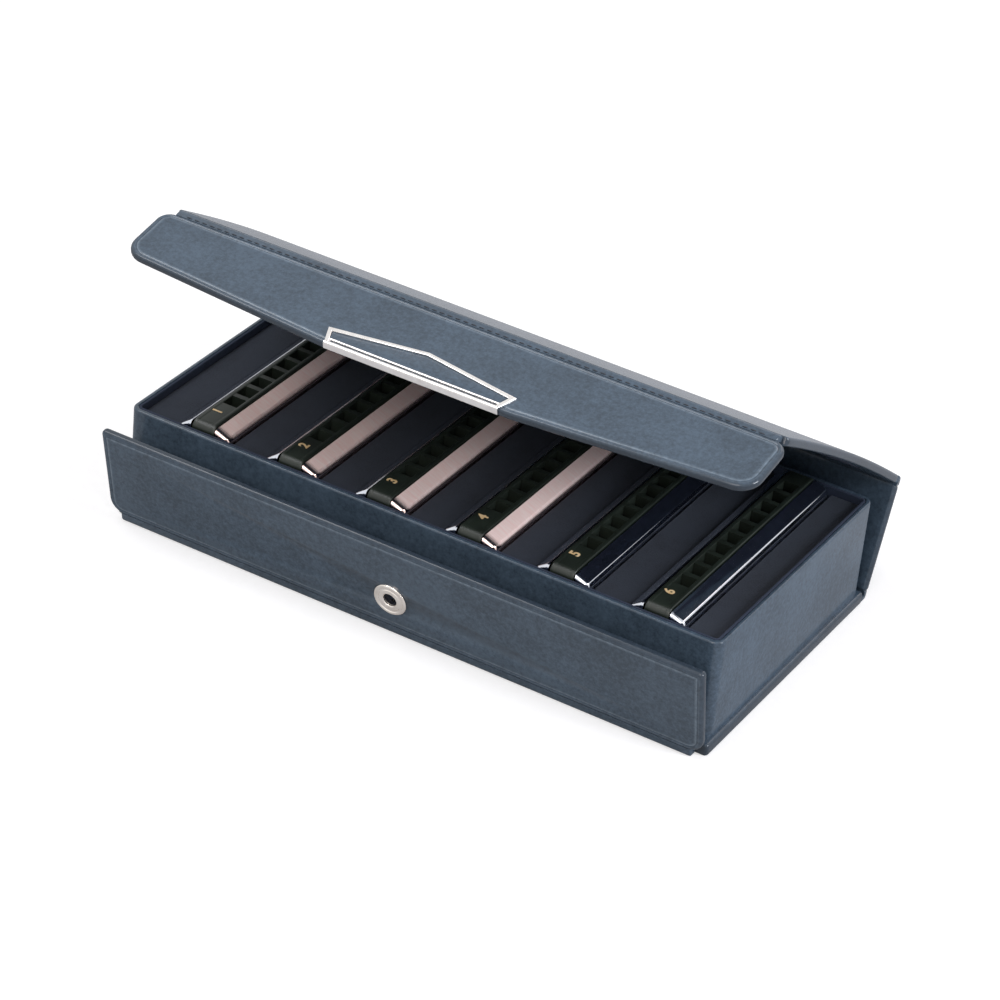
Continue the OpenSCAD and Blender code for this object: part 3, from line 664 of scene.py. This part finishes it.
class CASE_OT_cover(bpy.types.Operator):
    """Make the wrap-round cover: four wrapped panels with their linings, and the leather over the folds"""

    bl_idname = "harmonica_case.cover"
    bl_label = "Cover"

    def execute(self, context):
        s = context.scene.case_sizes
        half = s.panel / 2
        half_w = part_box("base_cover")[1].x / MM
        spine = panel_frame("spine_hinge", 90 - s.lean, -1)
        lid = panel_frame("lid_hinge", 180 - s.rise, -1)
        lid_flap = panel_frame("lid_flap_hinge", 180 + s.dip, -1)
        front = panel_frame("front_flap_hinge", 90 + s.front_lean, 1)
        spine_len = (joint_at("lid_hinge") - joint_at("spine_hinge")).length
        lid_len = (joint_at("lid_flap_hinge") - joint_at("lid_hinge")).length
        spine_end = spine_len - s.gap
        lid_end = lid_len - s.gap
        flap_w = half_w + s.flap_over
        spine_shape = panel_shape(half_w, s.gap, spine_end, CORNER, CORNER, (True, False))
        lid_shape = panel_shape(half_w, s.gap, lid_end, CORNER, CORNER, (False, False))
        front_shape = panel_shape(half_w, s.gap, s.front_len, 5.5, CORNER)
        panels = (
            ("spine", spine, spine_shape, spine_end, 0.0),
            ("lid", lid, lid_shape, lid_end, 0.0),
            ("lid_flap", lid_flap, flap_shape(s, flap_w), s.flap_len, 0.22),
            ("front_flap", front, front_shape, s.front_len, 0.22),
        )
        leather = MATERIALS["leatherette"]
        velvet = MATERIALS["lining_velvet"]
        inset = s.turn_in + FIT
        for name, place, shape, end, crease in panels:
            bow = s.bow if name == "lid" else 0.0
            wrap = slab(name + "_leather", leather, place, shape, -half, half, 1.2, crease, bow, lid_len)
            if name == "front_flap":
                self.bored(wrap, front @ Matrix.Translation((s.clasp_x, s.socket_up, 0)), 4.1)
            stands_for(wrap, name + "_cover")
            shape = panel_shape(half_w - inset, s.gap + inset, end - inset, CORNER, CORNER)
            pile = slab(name + "_velvet", velvet, place, shape, -half - 0.12, SKIN - half, 0.3, 0.0, bow,
                        lid_len)
            stands_for(pile, name + "_lining")
        inset = SKIN + FIT
        shape = panel_shape(half_w - inset, s.gap + inset, lid_end - inset, 1, 1)
        stiff = slab("lid_card", MATERIALS["grey_board"], lid, shape, -1, 0.95, 0.1, 0.0, s.bow, lid_len)
        stands_for(stiff, "lid_board")
        upright = 90 - s.lean
        rising = 180 - s.rise
        flap_ends = flap_w - s.flap_fold_corner + 0.6
        self.fold("spine_fold", "spine_hinge", 0, upright, half_w - 0.3, -1, s)
        self.fold("lid_fold", "lid_hinge", upright, rising, half_w - 0.1, -1, s)
        self.fold("lid_flap_fold", "lid_flap_hinge", rising, 180 + s.dip, flap_ends, -1, s)
        self.fold("front_fold", "front_flap_hinge", 180, 90 + s.front_lean, half_w - 4.2, 1, s)
        return {"FINISHED"}

    def bored(self, piece, at, radius):
        """Cuts a round hole through a panel for the snap's barrel."""
        mesh = bpy.data.meshes.new("bore")
        work = bmesh.new()
        bmesh.ops.create_cone(work, cap_ends=True, segments=32, radius1=radius, radius2=radius, depth=12,
                              matrix=at)
        bmesh.ops.recalc_face_normals(work, faces=work.faces)
        work.to_mesh(mesh)
        work.free()
        tool = bpy.data.objects.new("bore", mesh)
        bpy.context.scene.collection.objects.link(tool)
        cutter = piece.modifiers.new("bore", "BOOLEAN")
        cutter.object = tool
        cutter.operation = "DIFFERENCE"
        bpy.context.view_layer.update()
        solid = bpy.data.meshes.new_from_object(piece.evaluated_get(bpy.context.evaluated_depsgraph_get()))
        piece.modifiers.clear()
        bpy.data.objects.remove(tool)
        piece.data = solid

    def fold(self, node, hinge, before, after, half_w, flip, s):
        """Leather over a fold: its outer side is an arc about the fold, and its ends lie on two panels."""
        half = s.panel / 2
        reach = s.gap + 0.5
        steps = 10
        at = joint_at(hinge)
        angles = [math.radians(degrees) for degrees in (before, after)]
        first, last = [Vector((0, math.cos(a), math.sin(a))) for a in angles]
        first_out, last_out = [Vector((0, -d.z, d.y)) * flip for d in (first, last)]
        ring = [at - first * reach + first_out * (half - 0.04)]
        turn = first_out.angle(last_out)
        for k in range(steps + 1):
            w = k / steps
            out = (first_out * math.sin(turn * (1 - w)) + last_out * math.sin(turn * w)) / math.sin(turn)
            ring.append(at + out * half)
        ring.append(at + last * reach + last_out * (half - 0.04))
        ring.append(at + last * reach - last_out * (half - 0.3))
        ring.append(at - (first_out + last_out).normalized() * 0.5)
        ring.append(at - first * reach - first_out * (half - 0.3))
        tips = ((0.0, 0.35), (0.25, 0.1), (0.6, 0.0))
        rings = []
        for x, pull in [(t - half_w, p) for t, p in tips] + [(half_w - t, p) for t, p in reversed(tips)]:
            rings.append([(Vector((x, 0, 0)) + at + (p - at) * (1 - pull)) * MM for p in ring])
        points, faces = lofted(rings)
        name = node + "_leather"
        piece = finished(name, mesh_of(name, points, faces), MATERIALS["leatherette"], 60)
        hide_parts(node)
        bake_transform(piece)
        in_slot(piece)


class CASE_OT_clasp(bpy.types.Operator):
    """Make the clasp plate, the snap and the row of stitches along the lid's front fold"""

    bl_idname = "harmonica_case.clasp"
    bl_label = "Clasp and stitches"

    def execute(self, context):
        s = context.scene.case_sizes
        half = s.panel / 2
        front = panel_frame("front_flap_hinge", 90 + s.front_lean, 1)
        lid_flap = panel_frame("lid_flap_hinge", 180 + s.dip, -1)
        self.frame(s, lid_flap, half)
        softened("clasp_leather", "trim_inlay", MATERIALS["leatherette"], 0.15)
        # Radius and height of the cap with its barrel and washer, then of the stud with its ball
        socket = front @ Matrix.Translation((s.clasp_x, s.socket_up, half))
        cap = filleted(
            [(6.3, 0), (6.3, 0.6), (5.9, 0.9), (5.2, 0.9), (4.9, 0.62), (4.4, 0.62), (4.1, 0.88),
             (2.8, 0.88), (2.5, 0.6), (2.5, 0.25), (3.5, 0.1), (3.5, -3.2), (0.02, -3.2), (0.02, -3.7),
             (4.0, -3.7), (4.0, 0)],
            [0, 0.3, 0.3, 0.2, 0.2, 0.2, 0.2, 0.3, 0.2, 0.1, 0.1, 0.3, 0, 0, 0.3, 0], 3)
        stands_for(turned("snap_socket", cap, MATERIALS["snap_metal"], socket), "snap_cap")
        down = s.flap_len - s.stud_edge
        inward = Matrix.Diagonal((1, 1, -1, 1))
        stud = lid_flap @ Matrix.Translation((s.clasp_x, down, -half)) @ inward
        ball = filleted(
            [(1.25, 0), (3.9, 0), (3.9, 0.6), (2.2, 0.75), (1.8, 1.2), (1.8, 1.8), (2.2, 2.2), (2.2, 2.7),
             (1.6, 3.2), (0.02, 3.2), (0.02, 2.6), (1.25, 2.6)],
            [0, 0.2, 0.25, 0.2, 0.2, 0.2, 0.25, 0.3, 0.3, 0, 0, 0], 3)
        stands_for(turned("snap_ball", ball, MATERIALS["snap_metal"], stud), "snap_stud")
        self.stitches(s, lid_flap, half)
        return {"FINISHED"}

    def frame(self, s, place, half):
        """The clasp plate: four bars, and a rail in two beads that wraps the flap's edge."""
        foot = 32.6
        wide, up, peak = 35.2, 6.6, 11.8
        corners = [Vector(p) for p in ((-foot, 0.0), (-wide, up), (0.0, peak), (wide, up), (foot, 0.0))]
        bar = filleted([(0, 0), (0, 1), (1.5, 1), (1.5, 0)], [0, 0.3, 0.3, 0], 3)
        at = place @ Matrix.Translation((s.clasp_x, s.flap_len, half))
        rings = []
        for k, corner in enumerate(corners):
            near = corners[max(k - 1, 0):k + 2]
            sides = [(b - a).normalized() for a, b in zip(near, near[1:])]
            normals = [Vector((d.y, -d.x)) for d in sides]
            inward = sum(normals, Vector((0, 0))).normalized()
            if len(sides) == 1:
                inward = Vector((math.copysign(1, -corner.x), 0))
            stretch = 1 / inward.dot(normals[0])
            ring = []
            for depth, height in bar:
                p = corner + inward * stretch * depth
                ring.append(at @ Vector((p.x, -p.y, height)))
            rings.append(ring)
        points, faces = lofted(rings)
        rail = filleted([(-2.2, -0.5), (-2.2, 0.9), (-1.45, 1), (-1.4, -0.8), (-0.6, -0.8), (-0.55, 1),
                         (0.8, 1), (0.8, -1.8), (0.05, -1.8), (0.05, -0.5)],
                        [0, 0.3, 0.3, 0.1, 0.1, 0.4, 0.75, 0.25, 0.2, 0], 4)
        more, its = lofted([[at @ Vector((x, y, h)) for y, h in rail] for x in (-foot, foot)])
        faces += [tuple(i + len(points) for i in f) for f in its]
        mesh = mesh_of("clasp_frame", points + more, faces)
        stands_for(finished("clasp_frame", mesh, MATERIALS["trim_chrome"], 40), "trim_frame")

    def stitches(self, s, place, half):
        """A row of stitches made by geometry nodes, on the lid flap's outer face beside its fold."""
        tree, inputs = node_group("stitch_row", Count="Int", Pitch="Float", Length="Float", Thread="Float")
        step = add(tree, "ShaderNodeCombineXYZ", {"X": inputs["Pitch"]})
        thick = inputs["Thread"]
        scale = add(tree, "ShaderNodeCombineXYZ", {"X": inputs["Length"], "Y": thick, "Z": thick})
        ball = add(tree, "GeometryNodeMeshUVSphere", {"Segments": 8, "Rings": 6, "Radius": 0.5})
        stitch = add(tree, "GeometryNodeTransform", {
            "Geometry": ball.outputs["Mesh"], "Scale": scale.outputs["Vector"]})
        repeat(tree, inputs, inputs["Count"], step, stitch)
        pitch = s.stitch + s.stitch_gap
        count = int(2 * s.stitch_reach / pitch) + 1
        obj = through_nodes("flap_stitches", tree, {
            "Count": count, "Pitch": pitch * MM, "Length": s.stitch * MM, "Thread": s.thread * MM,
            "Material": MATERIALS["thread"]})
        row = place @ Matrix.Translation((-s.stitch_reach, s.gap - 0.2, half)) @ Matrix.Scale(1 / MM, 4)
        obj.data.transform(row)
        obj.data.shade_smooth()
        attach(obj, "lid_flap")


def node_group(name, **sockets):
    """A geometry node tree that takes the named values and a material, and gives a mesh."""
    tree = bpy.data.node_groups.new(name, "GeometryNodeTree")
    for key, kind in (*sockets.items(), ("Material", "Material")):
        tree.interface.new_socket(key, in_out="INPUT", socket_type="NodeSocket" + kind)
    tree.interface.new_socket("Geometry", in_out="OUTPUT", socket_type="NodeSocketGeometry")
    return tree, add(tree, "NodeGroupInput").outputs


def repeat(tree, inputs, count, step, item):
    """Ends a tree with a row of real copies of an item, a step apart, in the tree's material."""
    line = add(tree, "GeometryNodeMeshLine", {"Count": count, "Offset": step.outputs["Vector"]})
    row = add(tree, "GeometryNodeInstanceOnPoints", {
        "Points": line.outputs["Mesh"], "Instance": item.outputs["Geometry"]})
    real = add(tree, "GeometryNodeRealizeInstances", {"Geometry": row.outputs["Instances"]})
    skin = add(tree, "GeometryNodeSetMaterial", {
        "Geometry": real.outputs["Geometry"], "Material": inputs["Material"]})
    add(tree, "NodeGroupOutput", {"Geometry": skin.outputs["Geometry"]})
    arrange(tree)


def through_nodes(name, tree, values):
    """Runs a geometry node tree with its named inputs and keeps the result as a mesh on a new object."""
    carrier = bpy.data.objects.new(name + "_carrier", bpy.data.meshes.new(name))
    bpy.context.scene.collection.objects.link(carrier)
    modifier = carrier.modifiers.new("nodes", "NODES")
    modifier.node_group = tree
    keys = {item.name: item.identifier for item in tree.interface.items_tree if item.in_out == "INPUT"}
    for key, value in values.items():
        modifier[keys[key]] = value
    carrier.update_tag()
    bpy.context.view_layer.update()
    evaluated = carrier.evaluated_get(bpy.context.evaluated_depsgraph_get())
    mesh = bpy.data.meshes.new_from_object(evaluated)
    mesh.name = name
    bpy.data.objects.remove(carrier)
    obj = bpy.data.objects.new(name, mesh)
    bpy.context.scene.collection.objects.link(obj)
    return obj


class CASE_OT_harmonicas(bpy.types.Operator):
    """Make the six harmonicas: combs, stamped cover plates, screws and the gold numerals"""

    bl_idname = "harmonica_case.harmonicas"
    bl_label = "Harmonicas"

    def execute(self, context):
        h = context.scene.harmonica_sizes
        screw = self.screw_tree()
        for number, body in enumerate(HARMONICAS, 1):
            low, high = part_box(body + "_comb")
            at = Vector(((low.x + high.x) / 2, low.y, high.z)) / MM
            self.comb(body, at, h)
            for side, sign in (("left", -1), ("right", 1)):
                # The first right covers take the pink painted reflection; the rest are polished chrome
                cover_material = "cover_satin" if side == "right" and number <= PINK_REFLECTION_COVERS else "cover_chrome"
                plate = self.cover(body + "_" + side + "_shell", at, sign, h, MATERIALS[cover_material])
                stands_for(plate, body + "_" + side + "_cover")
            screws = through_nodes(body + "_bolts", screw, {
                "Spacing": (h.length - 2 * h.screw_in) * MM, "Reach": h.screw_reach * MM,
                "Material": MATERIALS["screw_steel"]})
            screws.data.transform(Matrix.Translation((at + Vector((0, h.screw_in, -h.screw_down))) * MM))
            screws.data.shade_smooth()
            screws.data.set_sharp_from_angle(angle=math.radians(35))
            stands_for(screws, body + "_screws")
            self.numeral(body, number, at)
        return {"FINISHED"}

    def comb(self, body, at, h):
        """A moulded comb: a body between the reed plates, and a wider mouthpiece of two rails and bridges."""
        points = []
        faces = []

        def bar(section, start, stop, rounded):
            """A bar along the harmonica; where it is rounded, its top follows the comb's round corners."""
            lead = [h.corner * (1 - math.cos(math.pi / 12 * k)) for k in range(7)] if rounded else []
            places = {y for y in lead + [h.length - y for y in lead] if start <= y <= stop} | {start, stop}
            rings = []
            for y in sorted(places):
                reach = max(h.corner - min(y, h.length - y), 0.0)
                sink = h.corner - math.sqrt(max(h.corner ** 2 - reach ** 2, 0.0)) if rounded else 0.0
                rings.append([at + Vector((x, y, z - sink if z > -h.corner else z)) for x, z in section])
            more, its = lofted(rings)
            faces.extend(tuple(i + len(points) for i in f) for f in its)
            points.extend(more)

        head = h.head / 2
        hole = h.hole_w / 2
        neck = -h.head_h
        core = h.chamber / 2
        bar([(-core, -h.height), (core, -h.height), (core, neck), (-core, neck)], 0, h.length, False)
        edge = filleted([(hole, neck), (head, neck), (head, 0), (hole, 0)], [0, 0.2, 0.45, 0.12], 3)
        for side in (1, -1):
            bar([(side * p.x, p.y) for p in edge], 0, h.length, True)
        holes = [h.first_hole + h.hole_pitch * k for k in range(10)]
        starts = [0.0] + [y + h.hole_l / 2 for y in holes]
        stops = [y - h.hole_l / 2 for y in holes] + [h.length]
        for start, stop in zip(starts, stops):
            bar([(-hole, neck), (hole, neck), (hole, -0.04), (-hole, -0.04)], start, stop, True)
        name = body + "_body"
        obj = finished(name, mesh_of(name, [p * MM for p in points], faces), MATERIALS["comb_plastic"], 25)
        stands_for(obj, body + "_comb")

    def cover(self, name, at, sign, h, material):
        """A stamped cover plate: a ridge beside the mouthpiece, a flat side, round ends, a drawn-in back."""
        inner = 4.9
        back = -24.2
        wide = h.width / 2
        slope = -2.5 if sign > 0 else -3.6
        line = filleted([(inner, -0.58), (5.7, -0.95), (9.4, slope), (wide, slope - 1.7), (wide, -20.4),
                         (8.9, back)], [0, 0.5, 1.0, 1.4, 6.0, 0], 6, closed=False)

        def drawn(p, depth):
            """A point of the line, drawn in towards the comb's back corner by a depth."""
            x = inner + (p.x - inner) * (1 - depth / (wide - inner))
            return Vector((x, back + (p.y - back) * (1 - depth / 23.6)))

        turns = [math.pi / 12 * k for k in range(7)]
        start = [(h.bend * (1 - math.cos(a)), h.bend * (1 - math.sin(a))) for a in turns]
        steps = [(y, depth, y < h.sheet) for y, depth in start]
        steps += [(h.bend + 0.01, 0.0, False), (h.bend + 2.5, 0.0, False)]
        steps += [(h.length - y, depth, wall) for y, depth, wall in reversed(steps)]
        rings = []
        polish = []
        for y, depth, wall in steps:
            outer = [drawn(p, depth) for p in line]
            inside = [Vector((inner, p.y)) if wall else drawn(p, depth + h.sheet) for p in outer]
            rings.append([(at + Vector((sign * p.x, y, p.y))) * MM for p in outer + inside[::-1]])
            end = min(y, h.length - y) < h.bend + 0.1
            polish += [1.0 if end or p.y < slope - 0.7 else 0.0 for p in line + line[::-1]]
        mesh = mesh_of(name, *lofted(rings))
        layer = mesh.attributes.new("polish", "FLOAT", "POINT")
        layer.data.foreach_set("value", polish)
        return finished(name, mesh, material, 40)

    def screw_tree(self):
        """Two cover screws, head to the right and nut to the left, made once by geometry nodes."""
        tree, inputs = node_group("cover_screws", Spacing="Float", Reach="Float")
        step = add(tree, "ShaderNodeCombineXYZ", {"Y": inputs["Spacing"]})
        height = 1.2 * MM
        length = add(tree, "ShaderNodeMath", {0: inputs["Reach"], 1: 2.0}, operation="MULTIPLY")
        shaft = add(tree, "GeometryNodeMeshCylinder", {
            "Vertices": 20, "Radius": 0.95 * MM, "Depth": length.outputs[0]})
        parts = [shaft.outputs["Mesh"]]
        shift = add(tree, "ShaderNodeMath", {0: inputs["Reach"], 1: height / 2}, operation="ADD")
        for vertices, sign in ((24, 1.0), (6, -1.0)):
            turn = add(tree, "ShaderNodeMath", {0: shift.outputs[0], 1: sign}, operation="MULTIPLY")
            up = add(tree, "ShaderNodeCombineXYZ", {"Z": turn.outputs[0]})
            head = add(tree, "GeometryNodeMeshCylinder", {
                "Vertices": vertices, "Radius": 1.8 * MM, "Depth": height})
            moved = add(tree, "GeometryNodeTransform", {
                "Geometry": head.outputs["Mesh"], "Translation": up.outputs["Vector"]})
            parts.append(moved.outputs["Geometry"])
        joined = add(tree, "GeometryNodeJoinGeometry")
        for part in parts:
            tree.links.new(part, joined.inputs["Geometry"])
        lying = add(tree, "GeometryNodeTransform", {
            "Geometry": joined.outputs["Geometry"], "Rotation": (0.0, math.pi / 2, 0.0)})
        repeat(tree, inputs, 2, step, lying)
        return tree

    def numeral(self, body, number, at):
        """A plain gold numeral stamped on the comb, beside the first hole."""
        curve = bpy.data.curves.new(body + "_numeral", "FONT")
        curve.body = str(number)
        curve.size = 5.0 * MM
        curve.align_x = "CENTER"
        curve.align_y = "CENTER"
        curve.extrude = 0.03 * MM
        curve.offset = 0.16 * MM
        text = bpy.data.objects.new(body + "_numeral", curve)
        bpy.context.scene.collection.objects.link(text)
        bpy.context.view_layer.update()
        mesh = bpy.data.meshes.new_from_object(text.evaluated_get(bpy.context.evaluated_depsgraph_get()))
        bpy.data.objects.remove(text)
        place = Matrix.Translation((at + Vector((-0.9, 10.1, 0.02))) * MM)
        mesh.transform(place @ Matrix.Rotation(math.radians(90), 4, "Z"))
        obj = placed(body + "_numeral", mesh, MATERIALS["gold_ink"], 30)
        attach(obj, body)


class CASE_OT_stage(bpy.types.Operator):
    """Make the floor, the studio lights, the pale background and the camera"""

    bl_idname = "harmonica_case.stage"
    bl_label = "Stage"

    def execute(self, context):
        scene = context.scene
        r = FLOOR_REACH
        sheet = mesh_of("floor", [(-r, -r, 0), (r, -r, 0), (r, r, 0), (-r, r, 0)], [(0, 1, 2, 3)])
        placed("floor", sheet, self.floor_material(), 0)
        for lamp in LAMPS:
            self.lamp(*lamp)
        self.world(scene)
        self.camera(scene)
        scene.view_settings.view_transform = "Standard"
        return {"FINISHED"}

    def lamp(self, name, place, size, power, colour):
        light = bpy.data.lights.new(name, "AREA")
        light.size = size
        light.energy = power
        light.color = linear(colour)[:3]
        obj = bpy.data.objects.new(name, light)
        obj.location = place
        obj.rotation_euler = (Vector(LIT) - Vector(place)).to_track_quat("-Z", "Y").to_euler()
        bpy.context.scene.collection.objects.link(obj)

    def floor_material(self):
        """Matt white paper: the object's shadow falls on it, over an even white that the camera sees."""
        material, tree, shader, place = new_material("white_paper", {
            "Roughness": 0.9, "Emission Color": linear("#ffffff")})
        fibre = add(tree, "ShaderNodeTexNoise", {
            "Vector": place, "Scale": per_mm(3), "Detail": 3.0}).outputs["Fac"]
        dress(tree, shader, (fibre, (0.3, linear("#c2c2c2")), (0.7, linear("#c8c8c8"))))
        seen = add(tree, "ShaderNodeLightPath").outputs["Is Camera Ray"]
        glow = add(tree, "ShaderNodeMapRange", {"Value": seen, "To Min": 0.05, "To Max": 0.55})
        tree.links.new(glow.outputs["Result"], shader.inputs["Emission Strength"])
        arrange(tree)
        return material

    def world(self, scene):
        """Plain white for rays from the camera, a mirror or glass, and a soft grey light for the rest."""
        world = bpy.data.worlds.new("studio")
        scene.world = world
        world.use_nodes = True
        tree = world.node_tree
        tree.nodes.clear()
        path = add(tree, "ShaderNodeLightPath").outputs
        first = add(tree, "ShaderNodeMath", {
            0: path["Is Camera Ray"], 1: path["Is Glossy Ray"]}, operation="MAXIMUM")
        clear = add(tree, "ShaderNodeMath", {
            0: first.outputs[0], 1: path["Is Transmission Ray"]}, operation="MAXIMUM")
        white = add(tree, "ShaderNodeBackground", {"Color": linear("#ffffff"), "Strength": 1.0})
        soft = add(tree, "ShaderNodeBackground", {"Color": linear("#eef2f8"), "Strength": 0.22})
        mix = add(tree, "ShaderNodeMixShader", {0: clear.outputs[0], 1: soft.outputs[0], 2: white.outputs[0]})
        add(tree, "ShaderNodeOutputWorld", {"Surface": mix.outputs[0]})
        arrange(tree)

    def camera(self, scene):
        """The camera fitted to the case's edges."""
        data = bpy.data.cameras.new("camera")
        data.sensor_width = SENSOR
        data.lens = FOCAL_PIXELS * SENSOR / PICTURE_PIXELS
        data.clip_start = 0.01
        camera = bpy.data.objects.new("camera", data)
        scene.collection.objects.link(camera)
        azimuth, elevation, roll = (math.radians(a) for a in CAMERA_TURN)
        level = math.cos(elevation)
        back = Vector((math.sin(azimuth) * level, -math.cos(azimuth) * level, math.sin(elevation)))
        camera.location = Vector(CAMERA_AIM) * MM + back * CAMERA_DISTANCE
        camera.rotation_mode = "QUATERNION"
        upright = (-back).to_track_quat("-Z", "Y")
        camera.rotation_quaternion = upright @ Matrix.Rotation(roll, 3, "Z").to_quaternion()
        scene.camera = camera


class CASE_PT_panel(bpy.types.Panel):
    bl_label = "Harmonica Case"
    bl_idname = "CASE_PT_panel"
    bl_space_type = "VIEW_3D"
    bl_region_type = "UI"
    bl_category = "Harmonica Case"

    def draw(self, context):
        for operator in OPERATORS:
            self.layout.operator(operator.bl_idname)
        for group in (context.scene.case_sizes, context.scene.case_looks, context.scene.harmonica_sizes):
            for key in group.__annotations__:
                self.layout.prop(group, key)


GROUPS = {"case_sizes": CaseSizes, "case_looks": CaseLooks, "harmonica_sizes": HarmonicaSizes}
OPERATORS = (CASE_OT_finishes, CASE_OT_tray, CASE_OT_cover, CASE_OT_clasp, CASE_OT_harmonicas, CASE_OT_stage)


def register():
    for group in GROUPS.values():
        bpy.utils.register_class(group)
    for name, group in GROUPS.items():
        setattr(bpy.types.Scene, name, PointerProperty(type=group))
    for operator in OPERATORS:
        bpy.utils.register_class(operator)
    bpy.utils.register_class(CASE_PT_panel)


def unregister():
    bpy.utils.unregister_class(CASE_PT_panel)
    for operator in reversed(OPERATORS):
        bpy.utils.unregister_class(operator)
    for name, group in GROUPS.items():
        delattr(bpy.types.Scene, name)
        bpy.utils.unregister_class(group)


def main():
    register()
    bpy.ops.harmonica_case.finishes()
    bpy.ops.harmonica_case.tray()
    bpy.ops.harmonica_case.cover()
    bpy.ops.harmonica_case.clasp()
    bpy.ops.harmonica_case.harmonicas()
    bpy.ops.harmonica_case.stage()


if __name__ == "__main__":
    main()
